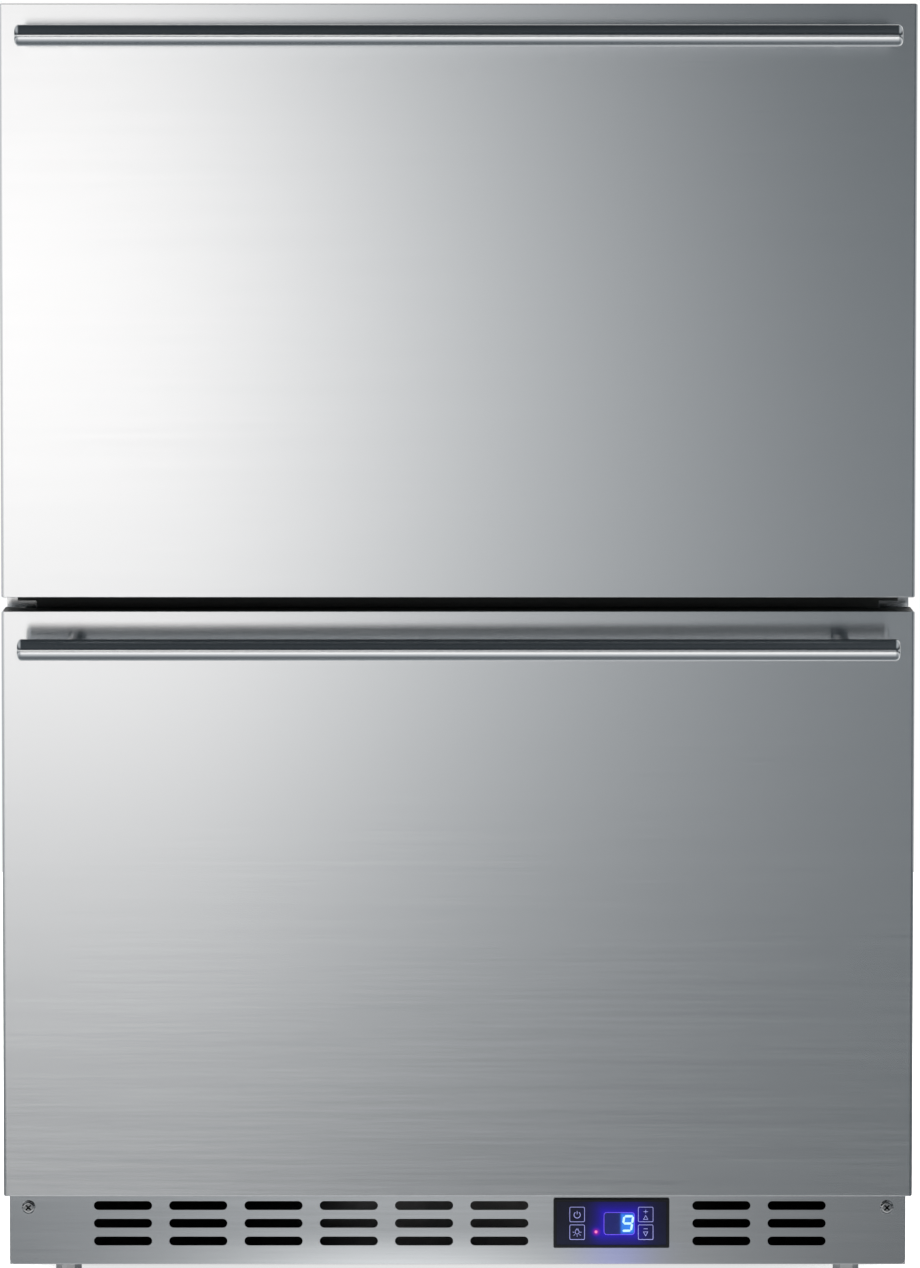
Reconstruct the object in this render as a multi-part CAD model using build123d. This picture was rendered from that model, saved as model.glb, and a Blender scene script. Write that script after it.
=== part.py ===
from build123d import *
import os
from math import cos, pi, radians, sin, sqrt

# Undercounter freezer with two drawers over a vented toe grille.
# Millimetres, +Z up. The drawer fronts face -Y and +X is the viewer's right.
# The origin is on the floor, under the middle of the appliance's outer box.

# Whole appliance
WIDTH = 597.0  # across the drawer fronts
DEPTH = 603.0  # face of the drawer fronts to the back of the cabinet
FRONT_OVERHANG = 1.0  # drawer fronts past the cabinet, each side
CABINET_DROP = 7.0  # cabinet top below the upper drawer's top edge
BASE_HEIGHT = 28.0  # floor to the underside of the base pan
TOE_SPACE = 56.0  # height of the toe grille and of the air channel behind it
TOE_LAP = 2.0  # lower drawer front over the toe grille's top edge
SHELL = 1.0  # outer sheet
REAR_RECESS = 6.0  # rear cover behind the cabinet's back edge

# Insulated walls
LINER = 2.0
SIDE_WALL = 48.0
TOP_WALL = 48.0
BACK_WALL = 50.0
FLOOR_WALL = 40.0
STEP_WALL = 45.0
MACHINE_DEPTH = 215.0  # machine compartment, front wall to cabinet back
MACHINE_HEIGHT = 234.0  # machine compartment, above the base pan's underside

# Drawer fronts
UPPER_FRONT = 387.0
LOWER_FRONT = 386.0
FRONT_GAP = 9.0
SKIN = 1.0
SKIN_DEPTH = 31.0
SKIN_BEND = 2.0  # outside radius of the folded vertical edges
SKIN_CORNER = 1.6  # corner radius seen from the front
SKIN_LIP = 14.0  # inward return at the back of the skin
EDGE_BREAK = 0.4
CAP_HEIGHT = 9.0
CAP_INSET = 0.5
PANEL = 7.0  # inner panel thickness
PANEL_INSET = 6.0
SEAL_SPACE = 7.2  # inner panel to cabinet flange with the drawer shut
SEAL_CLEAR = 0.3
SEAL_WIDTH = 13.0
SEAL_INSET = 8.0
SEAL_WALL = 1.6
DART = 3.0  # rib that holds the seal in the panel's groove
DART_DEPTH = 3.5
SNUG = 0.1  # clearance of parts that lie in one another

# Handles
BAR = 14.0
BAR_INSET = 13.5  # side of the drawer front to the bar's end
BAR_REACH = 50.0  # drawer face to bar axis
BAR_DROP = 20.5  # top edge of the drawer front to bar axis
BAR_END = 3.0  # rounding of the bar's ends
POST = 12.0
POST_INSET = 48.5  # side of the drawer front to the post's axis

# Drawer tubs and slides
TUB = 1.2
TUB_CORNER = 14.0
TUB_LIP = 8.0
TUB_CLEAR = 10.0
UPPER_HEADROOM = 60.0  # ceiling to tub rim
LOWER_HEADROOM = 50.0  # mullion to tub rim
SLIDE = 1.2
SLIDE_HEIGHT = 45.0
SLIDE_SPACE = 12.7  # tub side to liner wall
SLIDE_FLANGE = 10.5
SLIDE_START = 6.0  # cabinet flange to the slides' front end
SLIDE_DROP = 40.0  # tub rim to slide centre
UPPER_SLIDE = 400.0
LOWER_SLIDE = 300.0
BALL_SPACE = 2.5
BALL_CLEAR = 0.15
BALL_STRIP = 3.0
WEB_CLEAR = 0.4

# Mullion and lights
MULLION_HEIGHT = 36.0
MULLION_DEPTH = 60.0
MULLION_LIP = 8.0
LIGHT_LENGTH = 300.0
LIGHT_WIDTH = 14.0
LIGHT_HEIGHT = 7.0
LIGHT_SETBACK = 24.0

# Toe grille
GRILLE = 1.2
GRILLE_CORNER = 3.0
SLOT_LENGTH = 38.6
SLOT_HEIGHT = 6.0
SLOT_PITCH = 50.0
SLOT_ROW_PITCH = 11.9
SLOT_ROWS = 3
SLOT_LOW = 15.7  # lowest row above the grille's bottom edge
LEFT_SLOTS = 6
LEFT_SLOT_INSET = 75.2  # cabinet side to the centre of the nearest column
RIGHT_SLOTS = 2
RIGHT_SLOT_INSET = 72.3
TOE_SCREW_INSET = 12.5
TOE_SCREW_RISE = 38.5

# Screws
SCREW = 5.0
SCREW_HEAD = 9.0
SCREW_HEAD_HEIGHT = 2.4
SCREW_LENGTH = 7.0
SCREW_CLEAR = 0.05
CROSS_ARM = 4.6
CROSS_WIDTH = 1.0
CROSS_DEPTH = 1.4

# Base pan and feet
PAN = 1.2
PAN_LIP = 25.0
PAN_FRONT_LIP = 8.0
PAN_EAR = 30.0
FOOT_INSET = 35.5  # cabinet side to the foot's axis
FRONT_FOOT_SETBACK = 62.0
REAR_FOOT_SETBACK = 35.0
FOOT_PAD = 38.0
FOOT_PAD_HEIGHT = 9.0
FOOT_STUD = 10.0
FOOT_STUD_RISE = 46.0  # stud end above the pad
FOOT_HEX = 15.0  # across the flats of its shank, which stops against the base pan
NUT = 19.0
NUT_HEIGHT = 12.0
THREAD_CLEAR = 0.06
DIVIDER_OFFSET = 8.0  # control panel to the sheet that parts the two air streams

# Control panel
CONTROL_INSET = 195.4  # cabinet's right side to the control panel's centre
CONTROL_RISE = 28.0  # its centre above the grille's bottom edge
BEZEL_WIDTH = 77.0
BEZEL_HEIGHT = 33.0
BEZEL = 2.6  # thickness in front of the grille
BEZEL_RIM = 2.0
BEZEL_CORNER = 1.0
HOUSING_WIDTH = 71.0
HOUSING_HEIGHT = 27.0
HOUSING_DEPTH = 42.0
HOUSING_WALL = 1.6
LENS = 1.5
LENS_RECESS = 0.4
KEY = 10.4
KEY_CLEAR = 0.15
KEY_THICKNESS = 3.0
KEY_PROUD = 0.1
KEY_TRAVEL = 0.4
KEY_CORNER = 1.2
KEY_X = 22.75  # key centre left and right of the panel centre
KEY_Z = 5.95  # key centre above and below the panel centre
DISPLAY_X = 5.2  # display centre right of the panel centre
DISPLAY_Z = -0.15
DISPLAY_WIDTH = 20.6
DISPLAY_HEIGHT = 15.2
DISPLAY_CORNER = 2.0
DISPLAY_SINK = 0.3
DIGIT_WIDTH = 7.4
DIGIT_HEIGHT = 11.2
DIGIT_STROKE = 1.5
DIGIT_GAP = 0.15
DIGIT_LEAN = 0.15  # sideways per unit of height
DIGIT_RELIEF = 0.2
DIGIT_OFFSET = 5.6  # digit centre right of the display centre
LED = 1.8
LED_X = -10.2
LED_Z = -5.8
BOARD = 1.6
BOARD_MARGIN = 0.2
KEY_FLANGE = 0.6
KEY_FLANGE_THICKNESS = 0.8
SWITCH = 5.0
SWITCH_HEIGHT = 2.0
SWITCH_GAP = 0.1  # key to switch with the key pressed

# Compressor
COMPRESSOR = 144.0
COMPRESSOR_HEIGHT = 158.0
COMPRESSOR_DOME = 40.0  # rounding of its ends
SEAM = 3.0  # weld flange round its middle, radially
SEAM_HEIGHT = 5.0
MOUNT_PLATE = 3.0
MOUNT_X = 160.0  # hole spacings of the mounting plate
MOUNT_Y = 96.0
MOUNT_MARGIN = 14.0
GROMMET = 20.0
GROMMET_HEIGHT = 13.0
GROMMET_WAIST = 12.0
MOUNT_STUD = 6.0
STUB = 10.0
STUB_HEIGHT = 10.0  # pipe stubs above the compressor's top
STUB_X = 32.0  # stub axes left and right of the compressor's axis
RELAY_WIDTH = 52.0
RELAY_HEIGHT = 60.0
RELAY_DEPTH = 30.0

# Condenser
COIL_WIDTH = 50.0
COIL_INSET = 57.5  # cabinet's right side to the coil
COIL_FRONT = 30.0  # compartment's front wall to the fins
COIL_REAR = 45.0  # cabinet back to the fins
COIL_LIFT = 16.0  # fins above the base pan
COIL_RUNS = 6
COIL_RUN_PITCH = 30.0
COIL_COLUMN_PITCH = 24.0
COIL_TUBE = 8.0
COIL_BEND = 11.0
COIL_OVERRUN = 17.0  # middle of the return bends beyond the fins
FIN = 0.6
FIN_COUNT = 21
FIN_MARGIN = 15.0  # fin edge to the nearest tube row
FIN_CLEAR = 0.1
END_PLATE = 1.5

# Fans
CONDENSER_FAN = 130.0
EVAPORATOR_FAN = 100.0
FAN_CLEAR = 4.0  # blade tip to its ring
FAN_HUB = 34.0
FAN_HUB_LENGTH = 22.0
FAN_BLADES = 5
FAN_BLADE = 1.6
BLADE_ROOT = 20.0  # blade width at the hub
BLADE_TIP = 42.0
FAN_PITCH = 28.0  # blade angle, degrees
FAN_GAP = 6.0  # hub to motor
EVAPORATOR_FAN_GAP = 4.0  # cover to hub
SHAFT = 5.0
SHAFT_CLEAR = 0.05
MOTOR = 52.0
MOTOR_LENGTH = 40.0
ARM = 6.0
SHROUD = 2.0
SHROUD_SPACE = 24.0  # shroud plate to the coil
SHROUD_RING = 10.0
ARM_REACH = 8.0  # fan ring to the motor's arms
FAN_FORWARD = 8.0  # hub end beyond the shroud plate

# Evaporator compartment
EVAPORATOR_SPACE = 75.0  # face of the cover to the liner's back wall
EVAPORATOR_COVER = 2.0
COVER_HALF = 195.0
EVAPORATOR_HALF = 150.0
EVAPORATOR_DEPTH = 48.0
EVAPORATOR_RISE = 90.0  # step to the lowest edge of the fins
EVAPORATOR_RUNS = 6
EVAPORATOR_FINS = 31
EVAPORATOR_FAN_DROP = 56.0  # ceiling to the fan's axis
COVER_SLOT = 6.0
COVER_SLOT_PITCH = 14.0
INLET_ROWS = 3
INLET_RISE = 26.0
INLET_LENGTH = 320.0
HEATER = 7.0
HEATER_DROP = 22.0
HEATER_BEND = 14.0
SENSOR = 8.0
SENSOR_LENGTH = 26.0
SENSOR_X = 110.0

# Tubes and drain
DISCHARGE = 6.0
LINE_BEND = 9.0
LINE_REACH = 12.0  # coil ends to the lines' first bend
CAPILLARY = 4.0
SUCTION = 8.0
LINE_X = 185.0  # vertical lines left of the middle
LINE_CLEAR = 0.5
DRIER = 19.0
DRIER_LENGTH = 84.0
DRIER_X = 60.0
DRAIN_X = 100.0
DRAIN_BORE = 14.0
DRAIN_WALL = 2.0
DRAIN_FLANGE = 5.0
DRAIN_SETBACK = 15.0  # liner's back wall to the drain's axis
DRAIN_AIR = 14.0  # tube end above the pan's floor
TRAY_WIDTH = 120.0
TRAY_DEPTH = 96.0
TRAY_HEIGHT = 26.0
TRAY_WALL = 2.0

# Power box, gland and rear cover
BOX_WIDTH = 110.0
BOX_DEPTH = 40.0
BOX_HEIGHT = 80.0
BOX_LIFT = 92.0
BOX_X = 0.0
GLAND_BORE = 8.0
GLAND_WALL = 3.0
GLAND_FLANGE = 4.0
GLAND_FLANGE_LENGTH = 3.0
GLAND_LENGTH = 16.0
GLAND_INSET = 45.0
GLAND_RISE = 50.0
LOUVRE_LENGTH = 90.0
LOUVRE_HEIGHT = 5.0
LOUVRE_PITCH = 14.0
LOUVRE_ROWS = 11
LOUVRE_COLUMNS = 4
LOUVRE_COLUMN_PITCH = 120.0
LOUVRE_RISE = 46.0
COVER_SCREW_INSET = 27.5  # cabinet side to the outer screws' axes
COVER_SCREW_RISE = 12.0

# Planes across the depth, front to back
BAR_FRONT = BAR_REACH + BAR / 2
FRONT_Y = BAR_FRONT - (DEPTH + BAR_FRONT) / 2
BACK_Y = FRONT_Y + DEPTH
SKIN_BACK = FRONT_Y + SKIN_DEPTH
PANEL_BACK = SKIN_BACK + PANEL
FLANGE_Y = PANEL_BACK + SEAL_SPACE
GRILLE_Y = FLANGE_Y - GRILLE
LINER_BACK = BACK_Y - SHELL - BACK_WALL
ROOM_BACK = LINER_BACK - LINER
COVER_Y = ROOM_BACK - EVAPORATOR_SPACE
MACHINE_Y = BACK_Y - MACHINE_DEPTH
STEP_Y = MACHINE_Y - SHELL - STEP_WALL
ROOM_STEP_Y = STEP_Y - LINER
REAR_COVER_BACK = BACK_Y - REAR_RECESS
REAR_COVER_FRONT = REAR_COVER_BACK - SHELL

# Levels, floor to top
DECK_Z = BASE_HEIGHT + TOE_SPACE
LOWER_BOTTOM = DECK_Z - TOE_LAP
LOWER_TOP = LOWER_BOTTOM + LOWER_FRONT
UPPER_BOTTOM = LOWER_TOP + FRONT_GAP
UPPER_TOP = UPPER_BOTTOM + UPPER_FRONT
CABINET_TOP = UPPER_TOP - CABINET_DROP
PAN_TOP = BASE_HEIGHT + PAN
LINER_TOP = CABINET_TOP - SHELL - TOP_WALL
ROOM_TOP = LINER_TOP - LINER
LINER_FLOOR = DECK_Z + SHELL + FLOOR_WALL
ROOM_FLOOR = LINER_FLOOR + LINER
MACHINE_TOP = BASE_HEIGHT + MACHINE_HEIGHT
STEP_TOP = MACHINE_TOP + SHELL + STEP_WALL
ROOM_STEP_TOP = STEP_TOP + LINER
MULLION_Z = (UPPER_BOTTOM + LOWER_TOP) / 2
MULLION_TOP = MULLION_Z + MULLION_HEIGHT / 2
MULLION_BOTTOM = MULLION_Z - MULLION_HEIGHT / 2

# Half widths, outside to inside
FRONT_SIDE = WIDTH / 2
CABINET_SIDE = FRONT_SIDE - FRONT_OVERHANG
INSIDE_SIDE = CABINET_SIDE - SHELL
LINER_SIDE = INSIDE_SIDE - SIDE_WALL
ROOM_SIDE = LINER_SIDE - LINER
TUB_SIDE = ROOM_SIDE - SLIDE_SPACE

# Drawer tubs and slides
UPPER_TUB_BACK = COVER_Y - TUB_CLEAR - TUB_LIP
LOWER_TUB_BACK = ROOM_STEP_Y - TUB_CLEAR - TUB_LIP
UPPER_TUB_FLOOR = MULLION_TOP + TUB_CLEAR
LOWER_TUB_FLOOR = ROOM_FLOOR + TUB_CLEAR
MIDDLE_HEIGHT = SLIDE_HEIGHT - 2 * (SLIDE + BALL_SPACE)
INNER_HEIGHT = MIDDLE_HEIGHT - 2 * (SLIDE + BALL_SPACE)
SLIDE_Y = FLANGE_Y + SLIDE_START
UPPER_RIM = ROOM_TOP - UPPER_HEADROOM
LOWER_RIM = MULLION_BOTTOM - LOWER_HEADROOM
UPPER_SLIDE_Z = UPPER_RIM - SLIDE_DROP
LOWER_SLIDE_Z = LOWER_RIM - SLIDE_DROP

# Places of the parts behind the toe grille and in the machine compartment
CONTROL_X = CABINET_SIDE - CONTROL_INSET
CONTROL_Z = BASE_HEIGHT + CONTROL_RISE
DIVIDER_X = CONTROL_X + BEZEL_WIDTH / 2 + DIVIDER_OFFSET
TOE_SCREW_X = CABINET_SIDE - TOE_SCREW_INSET
TOE_SCREW_Z = BASE_HEIGHT + TOE_SCREW_RISE
FOOT_X = CABINET_SIDE - FOOT_INSET
FOOT_FRONT = FLANGE_Y + FRONT_FOOT_SETBACK
FOOT_REAR = BACK_Y - REAR_FOOT_SETBACK
COIL_RIGHT = CABINET_SIDE - COIL_INSET
COIL_LEFT = COIL_RIGHT - COIL_WIDTH
COIL_Y0 = MACHINE_Y + COIL_FRONT
COIL_Y1 = BACK_Y - COIL_REAR
COIL_Z0 = PAN_TOP + COIL_LIFT
COIL_Z1 = COIL_Z0 + 2 * FIN_MARGIN + (COIL_RUNS - 1) * COIL_RUN_PITCH
SHROUD_X = COIL_LEFT - SHROUD_SPACE
FAN_Y = (COIL_Y0 + COIL_Y1) / 2
FAN_Z = (COIL_Z0 + COIL_Z1) / 2
EVAPORATOR_Y = (COVER_Y + EVAPORATOR_COVER + ROOM_BACK) / 2
EVAPORATOR_Z0 = ROOM_STEP_TOP + EVAPORATOR_RISE
EVAPORATOR_FAN_Z = ROOM_TOP - EVAPORATOR_FAN_DROP
DRAIN_Y = ROOM_BACK - DRAIN_SETBACK
SUCTION_Y = EVAPORATOR_Y - COIL_COLUMN_PITCH / 2
CAPILLARY_Y = EVAPORATOR_Y + COIL_COLUMN_PITCH / 2
COMPRESSOR_X = STUB_X - LINE_X
COMPRESSOR_Y = SUCTION_Y
COMPRESSOR_BASE = PAN_TOP + GROMMET_HEIGHT
COMPRESSOR_TOP = COMPRESSOR_BASE + MOUNT_PLATE + COMPRESSOR_HEIGHT
STUB_TOP = COMPRESSOR_TOP + STUB_HEIGHT


def block(x0, x1, y0, y1, z0, z1):
    """Box between two corners."""
    middle = ((x0 + x1) / 2, (y0 + y1) / 2, (z0 + z1) / 2)
    return Pos(*middle) * Box(x1 - x0, y1 - y0, z1 - z0)


def rod(start, end, radius):
    """Round bar from one point to another."""
    line = Vector(*end) - Vector(*start)
    plane = Plane(origin=start, z_dir=line)
    base = (Align.CENTER, Align.CENTER, Align.MIN)
    return plane * Cylinder(radius, line.length, align=base)


def pipe(points, radius, bend):
    """Round tube along a route with rounded corners."""
    if len(points) > 2:
        route = FilletPolyline(*points, radius=bend)
    else:
        route = Line(*points)
    section = Plane(origin=route @ 0, z_dir=route % 0) * Circle(radius)
    return sweep(section, path=route)


def facing(x, y, z):
    """Plane seen from the front: local x to the right, local y up, normal to the viewer."""
    return Plane(origin=(x, y, z), x_dir=(1, 0, 0), z_dir=(0, -1, 0))


def sheet(sketch, x, y, z, thickness):
    """Flat piece with its front face at y, centred on x and z, as thick as stated."""
    return extrude(facing(x, y, z) * sketch, amount=-thickness)


def mirrored(shape):
    """The same shape on the other side of the appliance."""
    return mirror(shape, about=Plane.YZ)


def group(*shapes):
    """Several separate solids kept as one piece."""
    solids = [solid for shape in shapes for solid in shape.solids()]
    return Compound(children=solids)


def save(node, shape):
    export_step(shape, f"parts/{node}.step")


def stepped(side, front, back, floor, top, step_y, step_z):
    """Room of the cabinet with the raised step over the machinery at its rear."""
    room = block(-side, side, front, back, floor, top)
    return room - block(-side - 1, side + 1, step_y, back + 1, floor - 1, step_z)


def screw_places_toe():
    """Axes of the toe grille's screws."""
    return [(x, GRILLE_Y, TOE_SCREW_Z) for x in (-TOE_SCREW_X, TOE_SCREW_X)]


def screw_places_rear():
    """Axes of the rear cover's screws, low and high on both sides and in the middle."""
    low = PAN_TOP + COVER_SCREW_RISE
    high = MACHINE_TOP - COVER_SCREW_RISE
    outermost = CABINET_SIDE - COVER_SCREW_INSET
    columns = (-outermost, 0, outermost)
    return [(x, REAR_COVER_BACK, z) for x in columns for z in (low, high)]


def screw_holes(places, y0, y1, clear):
    """Round holes between two planes for the screws at some places."""
    return [rod((x, y0, z), (x, y1, z), SCREW / 2 + clear) for x, y, z in places]


def outer_shell():
    """Top and sides folded from one sheet, with the front flange the seals close on."""
    side, top = CABINET_SIDE, CABINET_TOP
    wrap = block(-side, side, FLANGE_Y, BACK_Y, BASE_HEIGHT, top)
    wrap = fillet(wrap.edges().filter_by(Axis.Y).group_by(Axis.Z)[-1], SKIN_BEND)
    wrap -= block(-INSIDE_SIDE, INSIDE_SIDE, FLANGE_Y + SHELL, BACK_Y + 1, 0, top - SHELL)
    wrap -= block(-LINER_SIDE, LINER_SIDE, FLANGE_Y - 1, FLANGE_Y + 2 * SHELL, 0, LINER_TOP)
    for hole in screw_holes(screw_places_toe(), FLANGE_Y - 1, FLANGE_Y + 2, SCREW_CLEAR):
        wrap -= hole
    return wrap


def back_panel():
    """Sheet behind the insulation, above the machine compartment."""
    return block(-INSIDE_SIDE, INSIDE_SIDE, BACK_Y - SHELL, BACK_Y, MACHINE_TOP, CABINET_TOP - SHELL)


def line_places():
    """Axes and radii of the vertical tubes that pass through the step."""
    return [(-LINE_X, SUCTION_Y, SUCTION / 2), (-LINE_X, CAPILLARY_Y, CAPILLARY / 2)]


def step_bores(z0, z1):
    """Holes through the step for the refrigerant lines and the drain."""
    bores = [rod((x, y, z0), (x, y, z1), r + LINE_CLEAR) for x, y, r in line_places()]
    bores.append(rod((DRAIN_X, DRAIN_Y, z0), (DRAIN_X, DRAIN_Y, z1), drain_outer() + SNUG))
    return bores


def drain_outer():
    return DRAIN_BORE / 2 + DRAIN_WALL


def inner_liner():
    """White shell of the frozen compartment."""
    outer = stepped(LINER_SIDE, FLANGE_Y, LINER_BACK, LINER_FLOOR, LINER_TOP, STEP_Y, STEP_TOP)
    room = stepped(ROOM_SIDE, FLANGE_Y - 1, ROOM_BACK, ROOM_FLOOR, ROOM_TOP, ROOM_STEP_Y, ROOM_STEP_TOP)
    liner = outer - room
    for bore in step_bores(STEP_TOP - 1, ROOM_STEP_TOP + 1):
        liner -= bore
    return liner


def foam_insulation():
    """Foam between the shell and the liner."""
    front, back = FLANGE_Y + SHELL, BACK_Y - SHELL
    floor, top = DECK_Z + SHELL, CABINET_TOP - SHELL
    foam = stepped(INSIDE_SIDE, front, back, floor, top, MACHINE_Y - SHELL, MACHINE_TOP + SHELL)
    foam -= stepped(LINER_SIDE, front - 1, LINER_BACK, LINER_FLOOR, LINER_TOP, STEP_Y, STEP_TOP)
    for bore in step_bores(MACHINE_TOP, STEP_TOP + 1):
        foam -= bore
    return foam


def machine_deck():
    """Folded sheet under the insulation: floor, wall and roof over the machinery, front rail."""
    side = INSIDE_SIDE
    deck = block(-side, side, FLANGE_Y + SHELL, MACHINE_Y, DECK_Z, DECK_Z + SHELL)
    deck += block(-side, side, MACHINE_Y - SHELL, MACHINE_Y, DECK_Z, MACHINE_TOP + SHELL)
    deck += block(-side, side, MACHINE_Y - SHELL, BACK_Y - SHELL, MACHINE_TOP, MACHINE_TOP + SHELL)
    deck += block(-LINER_SIDE, LINER_SIDE, FLANGE_Y, FLANGE_Y + SHELL, DECK_Z, LINER_FLOOR)
    rear = REAR_COVER_FRONT
    deck += block(-side, side, rear - SHELL, rear, MACHINE_TOP - PAN_LIP, MACHINE_TOP)
    for bore in step_bores(MACHINE_TOP - 1, MACHINE_TOP + SHELL + 1):
        deck -= bore
    for hole in screw_holes(screw_places_rear(), rear - 2 * SHELL, rear + 1, SCREW_CLEAR):
        deck -= hole
    return deck


def centre_mullion():
    """Folded bar between the drawers, open to the rear."""
    y0, y1 = FLANGE_Y, FLANGE_Y + MULLION_DEPTH
    bar = block(-ROOM_SIDE, ROOM_SIDE, y0, y1, MULLION_BOTTOM, MULLION_TOP)
    z0, z1 = MULLION_BOTTOM + SHELL, MULLION_TOP - SHELL
    bar -= block(-ROOM_SIDE - 1, ROOM_SIDE + 1, y0 + SHELL, y1 - SHELL, z0, z1)
    lip = MULLION_LIP
    bar -= block(-ROOM_SIDE - 1, ROOM_SIDE + 1, y1 - 2 * SHELL, y1 + 1, z0 + lip, z1 - lip)
    return bar


def interior_lights():
    """Light strips under the ceiling and under the mullion."""
    y0 = FLANGE_Y + LIGHT_SETBACK
    strips = []
    for top in (ROOM_TOP, MULLION_BOTTOM):
        half = LIGHT_LENGTH / 2
        strip = block(-half, half, y0, y0 + LIGHT_WIDTH, top - LIGHT_HEIGHT, top)
        low = strip.edges().filter_by(Axis.X).group_by(Axis.Z)[0]
        strips.append(chamfer(low, LIGHT_HEIGHT / 3))
    return group(*strips)


def foot_places():
    """Floor points of the feet by name."""
    return {
        "foot_front_left": (-FOOT_X, FOOT_FRONT),
        "foot_front_right": (FOOT_X, FOOT_FRONT),
        "foot_rear_left": (-FOOT_X, FOOT_REAR),
        "foot_rear_right": (FOOT_X, FOOT_REAR),
    }


def base_pan():
    """Tray that carries the machinery, with weld nuts for the feet and the air divider."""
    front, back = FLANGE_Y + SHELL, REAR_COVER_FRONT
    pan = block(-INSIDE_SIDE, INSIDE_SIDE, front, back, BASE_HEIGHT, BASE_HEIGHT + PAN_LIP)
    inner = INSIDE_SIDE - PAN
    pan -= block(-inner, inner, front + PAN, back - PAN, PAN_TOP, DECK_Z)
    pan -= block(-inner, inner, front - 1, front + PAN + 1, BASE_HEIGHT + PAN_FRONT_LIP, DECK_Z)
    ear = block(INSIDE_SIDE - PAN_EAR, INSIDE_SIDE, front, front + PAN, BASE_HEIGHT, DECK_Z)
    pan += [ear, mirrored(ear)]
    for x, y in foot_places().values():
        pan += rod((x, y, PAN_TOP), (x, y, PAN_TOP + NUT_HEIGHT), NUT / 2)
    for x, y in foot_places().values():
        pan -= rod((x, y, 0), (x, y, DECK_Z), FOOT_STUD / 2 + THREAD_CLEAR)
    pan += block(DIVIDER_X - PAN, DIVIDER_X, front + PAN, MACHINE_Y, PAN_TOP, DECK_Z)
    for hole in screw_holes(screw_places_toe(), front - 1, front + PAN + 1, SCREW_CLEAR):
        pan -= hole
    for hole in screw_holes(screw_places_rear(), back - 2 * PAN, back + 1, SCREW_CLEAR):
        pan -= hole
    return pan


def foot(x, y):
    """Levelling foot, screwed right in: round pad, six-sided shank and threaded stud."""
    pad = rod((x, y, 0), (x, y, FOOT_PAD_HEIGHT), FOOT_PAD / 2)
    pad = fillet(pad.edges().filter_by(GeomType.CIRCLE).group_by(Axis.Z)[-1], FOOT_PAD_HEIGHT / 3)
    hexagon = RegularPolygon(FOOT_HEX / 2, 6, major_radius=False)
    shank = Pos(x, y, FOOT_PAD_HEIGHT) * extrude(hexagon, BASE_HEIGHT - FOOT_PAD_HEIGHT)
    stud = rod((x, y, FOOT_PAD_HEIGHT), (x, y, FOOT_PAD_HEIGHT + FOOT_STUD_RISE), FOOT_STUD / 2)
    return pad + shank + stud


def slot_centres():
    """Centres of the toe grille's air slots, as x and z."""
    left = LEFT_SLOT_INSET - CABINET_SIDE
    right = CABINET_SIDE - RIGHT_SLOT_INSET
    columns = [left + i * SLOT_PITCH for i in range(LEFT_SLOTS)]
    columns += [right - i * SLOT_PITCH for i in range(RIGHT_SLOTS)]
    rows = [BASE_HEIGHT + SLOT_LOW + i * SLOT_ROW_PITCH for i in range(SLOT_ROWS)]
    return [(x, z) for x in columns for z in rows]


def toe_grille():
    """Stainless plate with rows of air slots and the window of the control panel."""
    middle = (BASE_HEIGHT + DECK_Z) / 2
    outline = Rectangle(2 * CABINET_SIDE, DECK_Z - BASE_HEIGHT)
    outline = fillet(outline.vertices().group_by(Axis.Y)[0], GRILLE_CORNER)
    plate = sheet(outline, 0, GRILLE_Y, middle, GRILLE)
    front = plate.faces().sort_by(Axis.Y)[0]
    plate = fillet(front.edges(), EDGE_BREAK)
    slot = SlotOverall(SLOT_LENGTH, SLOT_HEIGHT)
    for x, z in slot_centres():
        plate -= sheet(slot, x, GRILLE_Y - 1, z, GRILLE + 2)
    window = Rectangle(HOUSING_WIDTH + 2 * SNUG, HOUSING_HEIGHT + 2 * SNUG)
    plate -= sheet(window, CONTROL_X, GRILLE_Y - 1, CONTROL_Z, GRILLE + 2)
    for hole in screw_holes(screw_places_toe(), GRILLE_Y - 1, GRILLE_Y + 2, SCREW_CLEAR):
        plate -= hole
    return plate


def pan_head_screw():
    """Cross-head screw along +Y with the underside of its head at the origin."""
    head = rod((0, 0, 0), (0, -SCREW_HEAD_HEIGHT, 0), SCREW_HEAD / 2)
    rim = head.edges().filter_by(GeomType.CIRCLE).group_by(Axis.Y)[0]
    head = fillet(rim, SCREW_HEAD_HEIGHT * 0.7)
    cross = Rectangle(CROSS_ARM, CROSS_WIDTH) + Rectangle(CROSS_WIDTH, CROSS_ARM)
    head -= sheet(cross, 0, -SCREW_HEAD_HEIGHT, 0, CROSS_DEPTH)
    return head + rod((0, 0, 0), (0, SCREW_LENGTH, 0), SCREW / 2)


def cover_screws():
    """The screws of the toe grille and, turned round, of the rear cover."""
    one = pan_head_screw()
    toe = [Pos(*place) * Rot(0, 45, 0) * one for place in screw_places_toe()]
    rear = [Pos(*place) * Rot(0, 0, 180) * one for place in screw_places_rear()]
    return group(*toe, *rear)


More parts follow.
